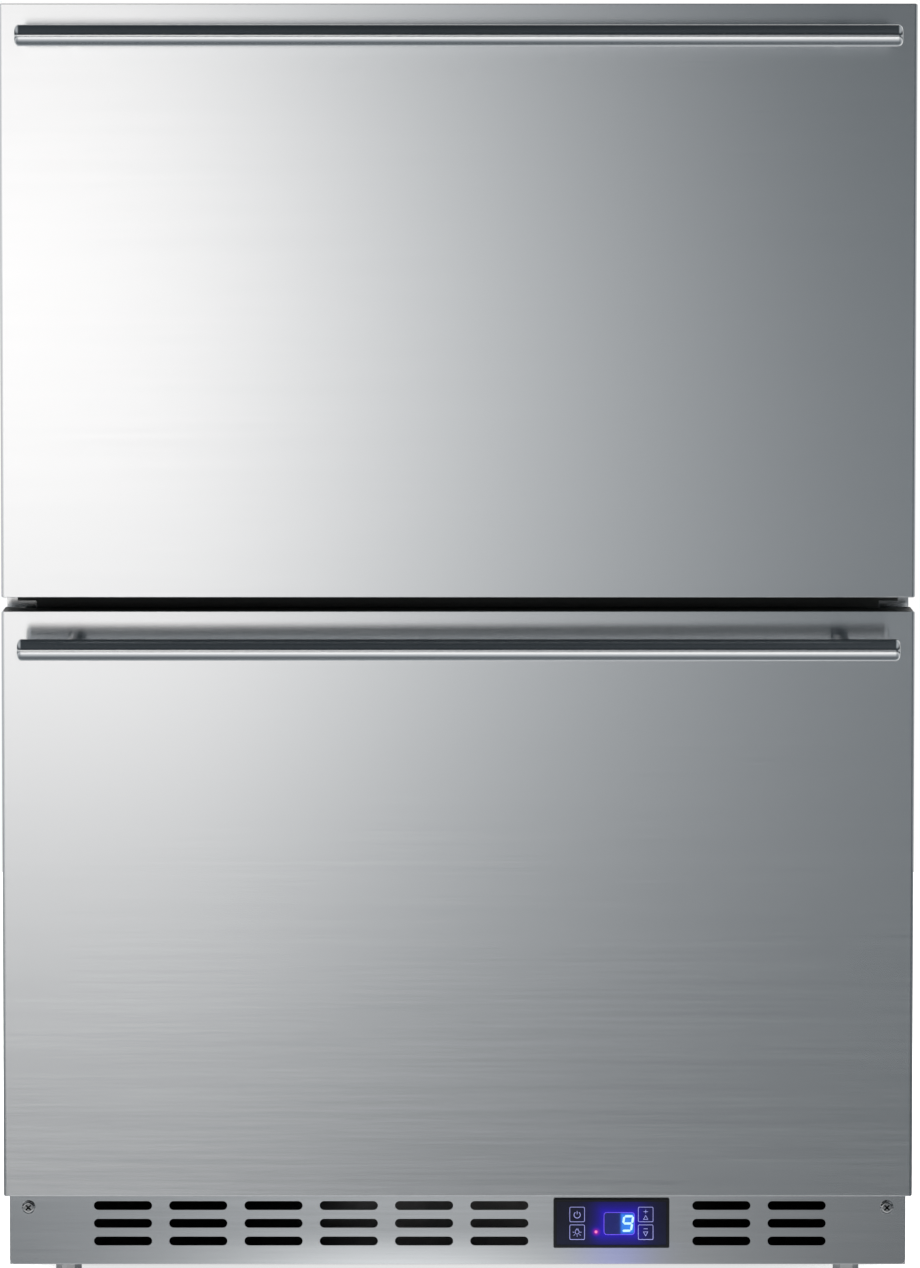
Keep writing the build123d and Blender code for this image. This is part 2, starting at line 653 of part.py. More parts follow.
def rear_cover():
    """Louvred sheet over the back of the machine compartment."""
    y0, y1 = REAR_COVER_FRONT, REAR_COVER_BACK
    plate = block(-INSIDE_SIDE, INSIDE_SIDE, y0, y1, BASE_HEIGHT, MACHINE_TOP)
    slot = SlotOverall(LOUVRE_LENGTH, LOUVRE_HEIGHT)
    for i in range(LOUVRE_COLUMNS):
        x = (i - (LOUVRE_COLUMNS - 1) / 2) * LOUVRE_COLUMN_PITCH
        for j in range(LOUVRE_ROWS):
            z = BASE_HEIGHT + LOUVRE_RISE + j * LOUVRE_PITCH
            plate -= sheet(slot, x, y0 - 1, z, SHELL + 2)
    for hole in screw_holes(screw_places_rear(), y0 - 1, y1 + 1, SCREW_CLEAR):
        plate -= hole
    x, z = gland_place()
    plate -= rod((x, y0 - 1, z), (x, y1 + 1, z), GLAND_BORE / 2 + GLAND_WALL + SNUG)
    return plate


def gland_place():
    return GLAND_INSET - CABINET_SIDE, BASE_HEIGHT + GLAND_RISE


def cord_gland():
    """Bush in the rear cover that the supply cord would pass through."""
    x, z = gland_place()
    outer = GLAND_BORE / 2 + GLAND_WALL
    flange = outer + GLAND_FLANGE
    bush = rod((x, REAR_COVER_BACK, z), (x, REAR_COVER_BACK + GLAND_FLANGE_LENGTH, z), flange)
    bush += rod((x, REAR_COVER_BACK + GLAND_FLANGE_LENGTH, z), (x, rear_of_gland(), z), outer)
    bore = rod((x, rear_of_gland() - 1, z), (x, REAR_COVER_BACK + GLAND_LENGTH, z), GLAND_BORE / 2)
    return bush - bore


def rear_of_gland():
    """Inner end of the gland, inside the machine compartment."""
    return REAR_COVER_BACK + GLAND_FLANGE_LENGTH - GLAND_LENGTH


def channel(side_x, depth, height, y0, length, z):
    """C-section along Y: web at side_x, flanges reaching depth towards +X or, if negative, -X."""
    sign = 1 if depth > 0 else -1
    x0, x1 = sorted((side_x, side_x + depth))
    bar = block(x0, x1, y0, y0 + length, z - height / 2, z + height / 2)
    web = side_x + sign * SLIDE
    x0, x1 = sorted((web, web + depth))
    return bar - block(x0, x1, y0 - 1, y0 + length + 1, z - height / 2 + SLIDE, z + height / 2 - SLIDE)


def fixed_rails():
    """Outer members of the four slides, on the liner's walls."""
    rails = []
    for length, z in ((UPPER_SLIDE, UPPER_SLIDE_Z), (LOWER_SLIDE, LOWER_SLIDE_Z)):
        rail = channel(ROOM_SIDE, -SLIDE_FLANGE, SLIDE_HEIGHT, SLIDE_Y, length, z)
        rails += [rail, mirrored(rail)]
    return group(*rails)


def middle_rails(length, z):
    """Middle members of a drawer's slides, with the bearing strips on both faces of their flanges."""
    web = ROOM_SIDE - SLIDE - WEB_CLEAR
    depth = SLIDE_FLANGE - SLIDE - 2 * WEB_CLEAR
    rail = channel(web, -depth, MIDDLE_HEIGHT, SLIDE_Y, length, z)
    x1 = web - depth / 2
    x0 = x1 - BALL_STRIP
    thick = BALL_SPACE - BALL_CLEAR
    for face in (MIDDLE_HEIGHT / 2, MIDDLE_HEIGHT / 2 - SLIDE - thick):
        for z0 in (z + face, z - face - thick):
            rail += block(x0, x1, SLIDE_Y, SLIDE_Y + length, z0, z0 + thick)
    return group(rail, mirrored(rail))


def inner_rails(length, z):
    """Inner members of a drawer's slides, on the sides of the tub."""
    depth = SLIDE_SPACE - 2 * SLIDE - 2 * WEB_CLEAR - SLIDE
    rail = channel(TUB_SIDE, depth, INNER_HEIGHT, SLIDE_Y, length, z)
    return group(rail, mirrored(rail))


# Depths inside the control panel, front to back
BEZEL_FRONT = GRILLE_Y - BEZEL
LENS_FRONT = BEZEL_FRONT + LENS_RECESS
LENS_BACK = LENS_FRONT + LENS
KEY_FRONT = LENS_FRONT - KEY_PROUD
KEY_BACK = KEY_FRONT + KEY_THICKNESS
SWITCH_FRONT = KEY_BACK + KEY_TRAVEL + SWITCH_GAP
BOARD_Y = SWITCH_FRONT + SWITCH_HEIGHT
HOUSING_BACK = GRILLE_Y + HOUSING_DEPTH


def key_places():
    """Centres of the four keys by name."""
    left, right = CONTROL_X - KEY_X, CONTROL_X + KEY_X
    low, high = CONTROL_Z - KEY_Z, CONTROL_Z + KEY_Z
    return {
        "key_power": (left, high),
        "key_light": (left, low),
        "key_up": (right, high),
        "key_down": (right, low),
    }


def display_place():
    return CONTROL_X + DISPLAY_X, CONTROL_Z + DISPLAY_Z


def led_place():
    return CONTROL_X + LED_X, CONTROL_Z + LED_Z


def control_housing():
    """Black bezel in front of the grille and the box that reaches through its window."""
    rim = RectangleRounded(BEZEL_WIDTH, BEZEL_HEIGHT, BEZEL_CORNER)
    shell = sheet(rim, CONTROL_X, BEZEL_FRONT, CONTROL_Z, BEZEL)
    front = shell.faces().sort_by(Axis.Y)[0]
    shell = fillet(front.outer_wire().edges(), EDGE_BREAK)
    outer = Rectangle(HOUSING_WIDTH, HOUSING_HEIGHT)
    shell += sheet(outer, CONTROL_X, GRILLE_Y, CONTROL_Z, HOUSING_DEPTH)
    recess = Rectangle(BEZEL_WIDTH - 2 * BEZEL_RIM, BEZEL_HEIGHT - 2 * BEZEL_RIM)
    shell -= sheet(recess, CONTROL_X, BEZEL_FRONT - 1, CONTROL_Z, LENS_BACK - BEZEL_FRONT + 1)
    bore = Rectangle(HOUSING_WIDTH - 2 * HOUSING_WALL, HOUSING_HEIGHT - 2 * HOUSING_WALL)
    shell -= sheet(bore, CONTROL_X, BEZEL_FRONT, CONTROL_Z, HOUSING_BACK - HOUSING_WALL - BEZEL_FRONT)
    return shell


def control_lens():
    """Dark face with openings for the keys, the display and the status light."""
    width = BEZEL_WIDTH - 2 * (BEZEL_RIM + SNUG)
    height = BEZEL_HEIGHT - 2 * (BEZEL_RIM + SNUG)
    lens = sheet(Rectangle(width, height), CONTROL_X, LENS_FRONT, CONTROL_Z, LENS)
    hole = RectangleRounded(KEY + 2 * KEY_CLEAR, KEY + 2 * KEY_CLEAR, KEY_CORNER + KEY_CLEAR)
    for x, z in key_places().values():
        lens -= sheet(hole, x, LENS_FRONT - 1, z, LENS + 2)
    x, z = display_place()
    window = RectangleRounded(DISPLAY_WIDTH, DISPLAY_HEIGHT, DISPLAY_CORNER)
    lens -= sheet(window, x, LENS_FRONT - 1, z, LENS + 2)
    x, z = led_place()
    return lens - rod((x, LENS_FRONT - 1, z), (x, LENS_BACK + 1, z), LED / 2 + SNUG)


def key(x, z):
    """Push key with a flange behind the lens."""
    cap = sheet(RectangleRounded(KEY, KEY, KEY_CORNER), x, KEY_FRONT, z, KEY_THICKNESS)
    side = KEY + 2 * KEY_FLANGE
    flange = sheet(Rectangle(side, side), x, LENS_BACK + SNUG, z, KEY_FLANGE_THICKNESS)
    return cap + flange


def display_module():
    """Block of the two-digit display, from the board into the lens's window."""
    x, z = display_place()
    width, height = DISPLAY_WIDTH - 2 * SNUG, DISPLAY_HEIGHT - 2 * SNUG
    outline = RectangleRounded(width, height, DISPLAY_CORNER - SNUG)
    front = LENS_FRONT + DISPLAY_SINK
    return sheet(outline, x, front, z, BOARD_Y - front)


def segment(x, z, length, upright):
    """Six-sided bar of a digit, leaning with the digit."""
    half, waist = length / 2 - DIGIT_GAP, DIGIT_STROKE / 2
    corners = [(-half, 0), (waist - half, waist), (half - waist, waist)]
    corners += [(half, 0), (half - waist, -waist), (waist - half, -waist)]
    if upright:
        corners = [(across, along) for along, across in corners]
    points = [(x + u + DIGIT_LEAN * (z + w), z + w) for u, w in corners]
    return make_face(Polyline(*points, close=True))


def display_digits():
    """Lit bars of the digit nine and the status light."""
    side = DIGIT_WIDTH / 2 - DIGIT_STROKE / 2
    rise = DIGIT_HEIGHT / 2 - DIGIT_STROKE / 2
    bars = [segment(0, level, 2 * side, False) for level in (-rise, 0, rise)]
    bars += [segment(side, level, rise, True) for level in (-rise / 2, rise / 2)]
    bars.append(segment(-side, rise / 2, rise, True))
    x, z = display_place()
    front = LENS_FRONT + DISPLAY_SINK - DIGIT_RELIEF
    lit = [sheet(bar, x + DIGIT_OFFSET, front, z, DIGIT_RELIEF) for bar in bars]
    x, z = led_place()
    led = rod((x, LENS_FRONT, z), (x, BOARD_Y, z), LED / 2)
    return group(*lit, led)


def control_board():
    """Circuit board with one switch behind each key."""
    width = HOUSING_WIDTH - 2 * (HOUSING_WALL + BOARD_MARGIN)
    height = HOUSING_HEIGHT - 2 * (HOUSING_WALL + BOARD_MARGIN)
    board = sheet(Rectangle(width, height), CONTROL_X, BOARD_Y, CONTROL_Z, BOARD)
    for x, z in key_places().values():
        board += sheet(Rectangle(SWITCH, SWITCH), x, SWITCH_FRONT, z, SWITCH_HEIGHT)
    return board


def mount_places():
    """Centres of the compressor's mounting holes."""
    columns = (COMPRESSOR_X - MOUNT_X / 2, COMPRESSOR_X + MOUNT_X / 2)
    rows = (COMPRESSOR_Y - MOUNT_Y / 2, COMPRESSOR_Y + MOUNT_Y / 2)
    return [(x, y) for x in columns for y in rows]


def compressor():
    """Sealed shell with domed ends, weld flange, pipe stubs and mounting plate."""
    x, y, z = COMPRESSOR_X, COMPRESSOR_Y, COMPRESSOR_BASE
    foot = z + MOUNT_PLATE
    can = rod((x, y, foot), (x, y, COMPRESSOR_TOP), COMPRESSOR / 2)
    can = fillet(can.edges().filter_by(GeomType.CIRCLE).group_by(Axis.Z)[-1], COMPRESSOR_DOME)
    middle = foot + COMPRESSOR_HEIGHT / 2
    half = SEAM_HEIGHT / 2
    can += rod((x, y, middle - half), (x, y, middle + half), COMPRESSOR / 2 + SEAM)
    width, depth = MOUNT_X + 2 * MOUNT_MARGIN, MOUNT_Y + 2 * MOUNT_MARGIN
    can += Pos(x, y, z) * extrude(RectangleRounded(width, depth, MOUNT_MARGIN), MOUNT_PLATE)
    for side in (-1, 1):
        stub = x + side * STUB_X
        can += rod((stub, y, middle), (stub, y, STUB_TOP), STUB / 2)
    for hole_x, hole_y in mount_places():
        can -= rod((hole_x, hole_y, z - 1), (hole_x, hole_y, foot + 1), GROMMET_WAIST / 2 + SNUG)
    return can


def compressor_relay_cover():
    """Cover of the relay and the terminals, on the compressor's side under the weld flange."""
    half = RELAY_WIDTH / 2
    x0, x1 = COMPRESSOR_X - half, COMPRESSOR_X + half
    front = COMPRESSOR_Y - COMPRESSOR / 2 - RELAY_DEPTH
    z1 = COMPRESSOR_BASE + MOUNT_PLATE + COMPRESSOR_HEIGHT / 2 - SEAM_HEIGHT / 2 - SNUG
    z0 = z1 - RELAY_HEIGHT
    cover = block(x0, x1, front, COMPRESSOR_Y, z0, z1)
    cover = fillet(cover.edges().filter_by(Axis.Z).group_by(Axis.Y)[0], RELAY_DEPTH / 5)
    can = rod((COMPRESSOR_X, COMPRESSOR_Y, z0 - 1), (COMPRESSOR_X, COMPRESSOR_Y, z1 + 1), COMPRESSOR / 2)
    cover -= can
    return cover.solids().sort_by(Axis.Y)[0]


def compressor_mounts():
    """Rubber mounts between the base pan and the compressor's plate."""
    mounts = []
    for x, y in mount_places():
        top = COMPRESSOR_BASE + MOUNT_PLATE
        mount = rod((x, y, PAN_TOP), (x, y, COMPRESSOR_BASE), GROMMET / 2)
        mount += rod((x, y, COMPRESSOR_BASE), (x, y, top), GROMMET_WAIST / 2)
        mount += rod((x, y, top), (x, y, top + MOUNT_PLATE), GROMMET / 2)
        mounts.append(mount - rod((x, y, 0), (x, y, top + GROMMET_HEIGHT), MOUNT_STUD / 2))
    return group(*mounts)


def coil_route(half, levels):
    """Route of a coil's tube: through the levels in one column and back in the other."""
    side = COIL_COLUMN_PITCH / 2
    reach, turn = half + COIL_OVERRUN - COIL_TUBE / 4, half + COIL_OVERRUN
    points = [(reach, -side, levels[0])]
    x = -turn
    for level, following in zip(levels, levels[1:]):
        points += [(x, -side, level), (x, -side, following)]
        x = -x
    points += [(x, -side, levels[-1]), (x, side, levels[-1])]
    x = -x
    for level, following in zip(levels[::-1], levels[-2::-1]):
        points += [(x, side, level), (x, side, following)]
        x = -x
    return points + [(reach, side, levels[0])]


def fin(thickness, y0, y1, z0, z1, levels):
    """Plate across a coil with holes for its tube."""
    plate = block(-thickness / 2, thickness / 2, y0, y1, z0, z1)
    for side in (-COIL_COLUMN_PITCH / 2, COIL_COLUMN_PITCH / 2):
        for level in levels:
            hole = rod((-thickness, side, level), (thickness, side, level), COIL_TUBE / 2 + FIN_CLEAR)
            plate -= hole
    return plate


def finned_coil(half, count, depth, levels, height, bracket):
    """Coil along X: fins, two end plates with a stated outline, and one tube through them all."""
    step = 2 * half / (count - 1)
    thin = fin(FIN, -depth / 2, depth / 2, 0, height, levels)
    end = fin(END_PLATE, *bracket, levels)
    plates = [Pos(i * step - half, 0, 0) * thin for i in range(1, count - 1)]
    plates += [Pos(x, 0, 0) * end for x in (-half, half)]
    return group(*plates, pipe(coil_route(half, levels), COIL_TUBE / 2, COIL_BEND))


def condenser_coil():
    """Condenser across the air intake, standing on its end plates."""
    height = COIL_Z1 - COIL_Z0
    levels = [height - FIN_MARGIN - i * COIL_RUN_PITCH for i in range(COIL_RUNS)]
    half = (COIL_Y1 - COIL_Y0) / 2
    bracket = (-COIL_WIDTH / 2, COIL_WIDTH / 2, -COIL_LIFT, height)
    coil = finned_coil(half, FIN_COUNT, COIL_WIDTH, levels, height, bracket)
    return group(Pos((COIL_LEFT + COIL_RIGHT) / 2, FAN_Y, COIL_Z0) * Rot(0, 0, 90) * coil)


def evaporator_levels():
    return [FIN_MARGIN + i * COIL_RUN_PITCH for i in range(EVAPORATOR_RUNS)]


def evaporator_coil():
    """Evaporator behind its cover, hung on the liner's back wall by its end plates."""
    levels = evaporator_levels()
    height = levels[-1] + FIN_MARGIN
    bracket = (EVAPORATOR_Y - ROOM_BACK, EVAPORATOR_DEPTH / 2, 0, height)
    coil = finned_coil(EVAPORATOR_HALF, EVAPORATOR_FINS, EVAPORATOR_DEPTH, levels, height, bracket)
    return group(Pos(0, EVAPORATOR_Y, EVAPORATOR_Z0) * Rot(0, 0, 180) * coil)


def fan_blade(diameter):
    """Hub with pitched blades, standing on the origin along +Z, with a bore for the shaft."""
    root, tip = FAN_HUB / 2 - 2, diameter / 2 - FAN_CLEAR
    corners = [(root, -BLADE_ROOT / 2), (tip, -BLADE_TIP / 2), (tip, BLADE_TIP / 2), (root, BLADE_ROOT / 2)]
    outline = make_face(Polyline(*corners, close=True))
    blade = Pos(0, 0, -FAN_BLADE / 2) * extrude(outline, FAN_BLADE)
    blade = Pos(0, 0, FAN_HUB_LENGTH / 2) * Rot(FAN_PITCH, 0, 0) * blade
    blade &= Pos(0, 0, FAN_HUB_LENGTH / 2) * Cylinder(tip, FAN_HUB_LENGTH)
    fan = rod((0, 0, 0), (0, 0, FAN_HUB_LENGTH), FAN_HUB / 2)
    for i in range(FAN_BLADES):
        fan += Rot(0, 0, i * 360 / FAN_BLADES) * blade
    return fan - rod((0, 0, -1), (0, 0, FAN_HUB_LENGTH - 4), SHAFT / 2 + SHAFT_CLEAR)


def fan_motor(length):
    """Motor with its shaft, face at the origin and the shaft along +Z into the hub."""
    body = rod((0, 0, -length), (0, 0, 0), MOTOR / 2)
    body = fillet(body.edges().filter_by(GeomType.CIRCLE), MOTOR / 13)
    return body + rod((0, 0, -1), (0, 0, FAN_GAP + FAN_HUB_LENGTH - 5), SHAFT / 2)


def condenser_fan_frame():
    """Frame of the condenser fan: origin at the hub's motor end, +Z towards the coil."""
    return Plane(origin=(SHROUD_X + FAN_FORWARD - FAN_HUB_LENGTH, FAN_Y, FAN_Z), z_dir=(1, 0, 0))


def evaporator_fan_frame():
    """Frame of the evaporator fan: origin at the hub's motor end, +Z towards the cover."""
    y = COVER_Y + EVAPORATOR_COVER + EVAPORATOR_FAN_GAP + FAN_HUB_LENGTH
    return Plane(origin=(0, y, EVAPORATOR_FAN_Z), z_dir=(0, -1, 0))


def condenser_fan_motor():
    """Motor on four arms that reach round the fan to the shroud."""
    motor = Pos(0, 0, -FAN_GAP) * fan_motor(MOTOR_LENGTH)
    middle = -FAN_GAP - MOTOR_LENGTH / 2
    plate = FAN_HUB_LENGTH - FAN_FORWARD
    reach = CONDENSER_FAN / 2 + ARM_REACH
    for i in range(4):
        angle = radians(45 + 90 * i)
        u, v = cos(angle), sin(angle)
        inner = (u * MOTOR / 3, v * MOTOR / 3, middle)
        corner = (u * reach, v * reach, middle)
        motor += pipe([inner, corner, (u * reach, v * reach, plate)], ARM / 2, ARM)
    return condenser_fan_frame() * motor


def condenser_fan_shroud():
    """Box between the fan and the condenser, with a ring round the blades."""
    x0, x1 = SHROUD_X, COIL_LEFT
    box = block(x0, x1, COIL_Y0, COIL_Y1, COIL_Z0, COIL_Z1)
    y0, y1 = COIL_Y0 + SHROUD, COIL_Y1 - SHROUD
    box -= block(x0 + SHROUD, x1 + 1, y0, y1, COIL_Z0 + SHROUD, COIL_Z1 - SHROUD)
    radius = CONDENSER_FAN / 2
    box += rod((x0 - SHROUD_RING, FAN_Y, FAN_Z), (x0, FAN_Y, FAN_Z), radius + SHROUD)
    return box - rod((x0 - SHROUD_RING - 1, FAN_Y, FAN_Z), (x0 + SHROUD + 1, FAN_Y, FAN_Z), radius)


def evaporator_cover():
    """White duct over the evaporator: air in at the foot, out through the fan's grille."""
    z0, z1 = ROOM_STEP_TOP, ROOM_TOP
    inner = COVER_HALF - EVAPORATOR_COVER
    cover = block(-COVER_HALF, COVER_HALF, COVER_Y, ROOM_BACK, z0, z1)
    cover -= block(-inner, inner, COVER_Y + EVAPORATOR_COVER, ROOM_BACK + 1, z0 - 1, z1 + 1)
    through = EVAPORATOR_COVER + 2
    for i in range(INLET_ROWS):
        level = z0 + INLET_RISE + i * COVER_SLOT_PITCH
        cover -= sheet(SlotOverall(INLET_LENGTH, COVER_SLOT), 0, COVER_Y - 1, level, through)
    radius = EVAPORATOR_FAN / 2
    rows = int(radius / COVER_SLOT_PITCH)
    for i in range(-rows, rows + 1):
        rise = i * COVER_SLOT_PITCH
        length = 2 * sqrt(radius**2 - rise**2)
        slot = SlotOverall(max(length, 2 * COVER_SLOT), COVER_SLOT)
        cover -= sheet(slot, 0, COVER_Y - 1, EVAPORATOR_FAN_Z + rise, through)
    return cover


def evaporator_fan_motor():
    """Motor of the evaporator fan, on the liner's back wall."""
    hub = COVER_Y + EVAPORATOR_COVER + EVAPORATOR_FAN_GAP + FAN_HUB_LENGTH
    length = ROOM_BACK - hub - FAN_GAP
    return evaporator_fan_frame() * Pos(0, 0, -FAN_GAP) * fan_motor(length)


def defrost_heater():
    """Heating rod under the evaporator, held by the coil's end plates."""
    side, top, low = EVAPORATOR_HALF, EVAPORATOR_Z0, EVAPORATOR_Z0 - HEATER_DROP
    points = [(-side, EVAPORATOR_Y, top), (-side, EVAPORATOR_Y, low)]
    points += [(side, EVAPORATOR_Y, low), (side, EVAPORATOR_Y, top)]
    return pipe(points, HEATER / 2, HEATER_BEND)


def temperature_sensor():
    """Sensor capsule on a clip on the evaporator cover."""
    z = ROOM_TOP - SENSOR_LENGTH
    half = SENSOR_LENGTH / 2
    y = COVER_Y - SENSOR
    sensor = rod((SENSOR_X - half, y, z), (SENSOR_X + half, y, z), SENSOR / 2)
    clip = block(SENSOR_X - half / 2, SENSOR_X + half / 2, y, COVER_Y, z - SENSOR / 2, z + SENSOR / 2)
    return sensor + clip


def refrigerant_tubes():
    """Discharge line, liquid line, filter drier, capillary tube and suction line."""
    high = MACHINE_TOP - LINE_REACH
    rear = FAN_Y + (COIL_Y1 - COIL_Y0) / 2 + COIL_OVERRUN - COIL_TUBE / 4
    bend_y = rear + LINE_REACH
    row = COIL_Z1 - FIN_MARGIN
    middle = (COIL_LEFT + COIL_RIGHT) / 2
    hot, cool = middle - COIL_COLUMN_PITCH / 2, middle + COIL_COLUMN_PITCH / 2
    x, y = COMPRESSOR_X + STUB_X, COMPRESSOR_Y
    points = [(x, y, STUB_TOP), (x, y, high), (x, bend_y, high)]
    points += [(hot, bend_y, high), (hot, bend_y, row), (hot, rear, row)]
    discharge = pipe(points, DISCHARGE / 2, LINE_BEND)
    level = high - LINE_REACH
    drier_y = bend_y - 2 * LINE_REACH
    drier_top = level - 2 * LINE_REACH
    points = [(cool, rear, row), (cool, bend_y, row), (cool, bend_y, level)]
    points += [(cool, drier_y, level), (DRIER_X, drier_y, level), (DRIER_X, drier_y, drier_top)]
    liquid = pipe(points, DISCHARGE / 2, LINE_BEND)
    drier_foot = drier_top - DRIER_LENGTH
    drier = rod((DRIER_X, drier_y, drier_foot), (DRIER_X, drier_y, drier_top), DRIER / 2)
    drier = fillet(drier.edges().filter_by(GeomType.CIRCLE), DRIER / 4)
    low = drier_foot - 2 * LINE_REACH
    inlet = EVAPORATOR_Z0 + evaporator_levels()[0]
    stub = COIL_OVERRUN - COIL_TUBE / 4 - EVAPORATOR_HALF - 2 * COIL_OVERRUN + COIL_TUBE / 2
    points = [(DRIER_X, drier_y, drier_foot), (DRIER_X, drier_y, low), (DRIER_X, CAPILLARY_Y, low)]
    points += [(DRIER_X, CAPILLARY_Y, level - CAPILLARY), (-LINE_X, CAPILLARY_Y, level - CAPILLARY)]
    points += [(-LINE_X, CAPILLARY_Y, inlet), (stub, CAPILLARY_Y, inlet)]
    capillary = pipe(points, CAPILLARY / 2, LINE_BEND)
    points = [(-LINE_X, SUCTION_Y, STUB_TOP), (-LINE_X, SUCTION_Y, inlet), (stub, SUCTION_Y, inlet)]
    suction = pipe(points, SUCTION / 2, LINE_BEND)
    return group(discharge, liquid, drier, capillary, suction)


def condensate_drain():
    """Drain tube through the step, and the tray where the water evaporates."""
    x, y = DRAIN_X, DRAIN_Y
    foot = PAN_TOP + TRAY_WALL + DRAIN_AIR
    rim = ROOM_STEP_TOP + DRAIN_WALL
    tube = rod((x, y, foot), (x, y, rim), drain_outer())
    tube += rod((x, y, ROOM_STEP_TOP), (x, y, rim), drain_outer() + DRAIN_FLANGE)
    tube -= rod((x, y, 0), (x, y, rim + 1), DRAIN_BORE / 2)
    tray = Pos(x, y, PAN_TOP) * extrude(RectangleRounded(TRAY_WIDTH, TRAY_DEPTH, TUB_CORNER), TRAY_HEIGHT)
    room = RectangleRounded(TRAY_WIDTH - 2 * TRAY_WALL, TRAY_DEPTH - 2 * TRAY_WALL, TUB_CORNER - TRAY_WALL)
    tray -= Pos(x, y, PAN_TOP + TRAY_WALL) * extrude(room, TRAY_HEIGHT)
    return group(tube, tray)


def power_box():
    """Closed box of the relays and supply terminals, on the compartment's front wall."""
    half = BOX_WIDTH / 2
    z0 = PAN_TOP + BOX_LIFT
    box = block(BOX_X - half, BOX_X + half, MACHINE_Y, MACHINE_Y + BOX_DEPTH, z0, z0 + BOX_HEIGHT)
    lid = box.faces().sort_by(Axis.Y)[-1]
    return fillet(lid.edges(), LINER)


def front_skin(z0, z1):
    """Folded stainless front of a drawer: face, two sides and the returns behind them."""
    side = FRONT_SIDE
    outer = block(-side, side, FRONT_Y, SKIN_BACK, z0, z1)
    outer = fillet(outer.edges().filter_by(Axis.Z).group_by(Axis.Y)[0], SKIN_BEND)
    rim = outer.faces().sort_by(Axis.Y)[0]
    outer = fillet(rim.edges().filter_by(Axis.X), EDGE_BREAK)
    outline = RectangleRounded(2 * side, z1 - z0, SKIN_CORNER)
    outer &= sheet(outline, 0, FRONT_Y, (z0 + z1) / 2, SKIN_DEPTH)
    inner = block(-side + SKIN, side - SKIN, FRONT_Y + SKIN, SKIN_BACK - SKIN, z0 - 1, z1 + 1)
    inner = fillet(inner.edges().filter_by(Axis.Z).group_by(Axis.Y)[0], SKIN_BEND - SKIN / 2)
    mouth = side - SKIN_LIP
    return outer - inner - block(-mouth, mouth, SKIN_BACK - 2 * SKIN, SKIN_BACK + 1, z0 - 1, z1 + 1)


def end_caps(z0, z1):
    """Dark caps that close a drawer front at its bottom and top."""
    side = FRONT_SIDE - SKIN - SNUG
    y0, y1 = FRONT_Y + SKIN + SNUG, SKIN_BACK - SKIN - SNUG
    caps = []
    for low in (z0 + CAP_INSET, z1 - CAP_INSET - CAP_HEIGHT):
        cap = block(-side, side, y0, y1, low, low + CAP_HEIGHT)
        caps.append(fillet(cap.edges().filter_by(Axis.Z), SKIN_BEND - SKIN / 2))
    return group(*caps)


def front_foam(z0, z1):
    """Foam core of a drawer front, between the caps."""
    side = FRONT_SIDE - SKIN - SNUG
    inset = CAP_INSET + CAP_HEIGHT
    y0, y1 = FRONT_Y + SKIN + SNUG, SKIN_BACK - SKIN
    core = block(-side, side, y0, y1, z0 + inset, z1 - inset)
    return fillet(core.edges().filter_by(Axis.Z).group_by(Axis.Y)[0], SKIN_BEND - SKIN / 2)


def frame_sketch(side, height, width):
    """Rectangular ring: half width and height of its outside, and the ring's own width."""
    return Rectangle(2 * side, height) - Rectangle(2 * (side - width), height - 2 * width)


def seal_dart(z0, z1, clear):
    """Rib of a seal, or with clearance its groove, as a rectangular ring."""
    shift = SEAL_INSET + (SEAL_WIDTH - DART) / 2 - clear
    return frame_sketch(FRONT_SIDE - shift, z1 - z0 - 2 * shift, DART + 2 * clear)


def inner_panel(z0, z1):
    """White inner panel of a drawer front, with the groove that holds the seal."""
    side, height = FRONT_SIDE - PANEL_INSET, z1 - z0 - 2 * PANEL_INSET
    middle = (z0 + z1) / 2
    panel = sheet(RectangleRounded(2 * side, height, SKIN_BEND), 0, SKIN_BACK, middle, PANEL)
    groove = sheet(seal_dart(z0, z1, SNUG), 0, PANEL_BACK - DART_DEPTH - SNUG, middle, DART_DEPTH + 1)
    return panel - groove


def seal(z0, z1):
    """Magnetic seal: hollow ring on the inner panel, with its rib in the panel's groove."""
    middle = (z0 + z1) / 2
    thick = SEAL_SPACE - SEAL_CLEAR
    side, height = FRONT_SIDE - SEAL_INSET, z1 - z0 - 2 * SEAL_INSET
    ring = sheet(frame_sketch(side, height, SEAL_WIDTH), 0, PANEL_BACK, middle, thick)
    inset = SEAL_WALL
    bore = frame_sketch(side - inset, height - 2 * inset, SEAL_WIDTH - 2 * inset)
    ring -= sheet(bore, 0, PANEL_BACK + inset, middle, thick - 2 * inset)
    return ring + sheet(seal_dart(z0, z1, 0), 0, PANEL_BACK - DART_DEPTH, middle, DART_DEPTH)


def handle(z1):
    """Round bar on two posts."""
    z = z1 - BAR_DROP
    y = FRONT_Y - BAR_REACH
    half = FRONT_SIDE - BAR_INSET
    bar = rod((-half, y, z), (half, y, z), BAR / 2)
    bar = fillet(bar.edges().filter_by(GeomType.CIRCLE), BAR_END)
    post_x = FRONT_SIDE - POST_INSET
    for x in (-post_x, post_x):
        bar += rod((x, FRONT_Y, z), (x, y, z), POST / 2)
    return bar


def tub(back, rim, floor):
    """Open stainless tub with rounded corners and a lip along its sides and back."""
    y0 = PANEL_BACK
    depth = back - y0
    middle = (y0 + back) / 2
    outline = RectangleRounded(2 * TUB_SIDE, depth, TUB_CORNER)
    body = Pos(0, middle, floor) * extrude(outline, rim - floor)
    lip = RectangleRounded(2 * (TUB_SIDE + TUB_LIP), depth + TUB_LIP, TUB_CORNER)
    body += Pos(0, middle + TUB_LIP / 2, rim - TUB) * extrude(lip, TUB)
    room = RectangleRounded(2 * (TUB_SIDE - TUB), depth - 2 * TUB, TUB_CORNER - TUB)
    return body - Pos(0, middle, floor + TUB) * extrude(room, rim - floor)


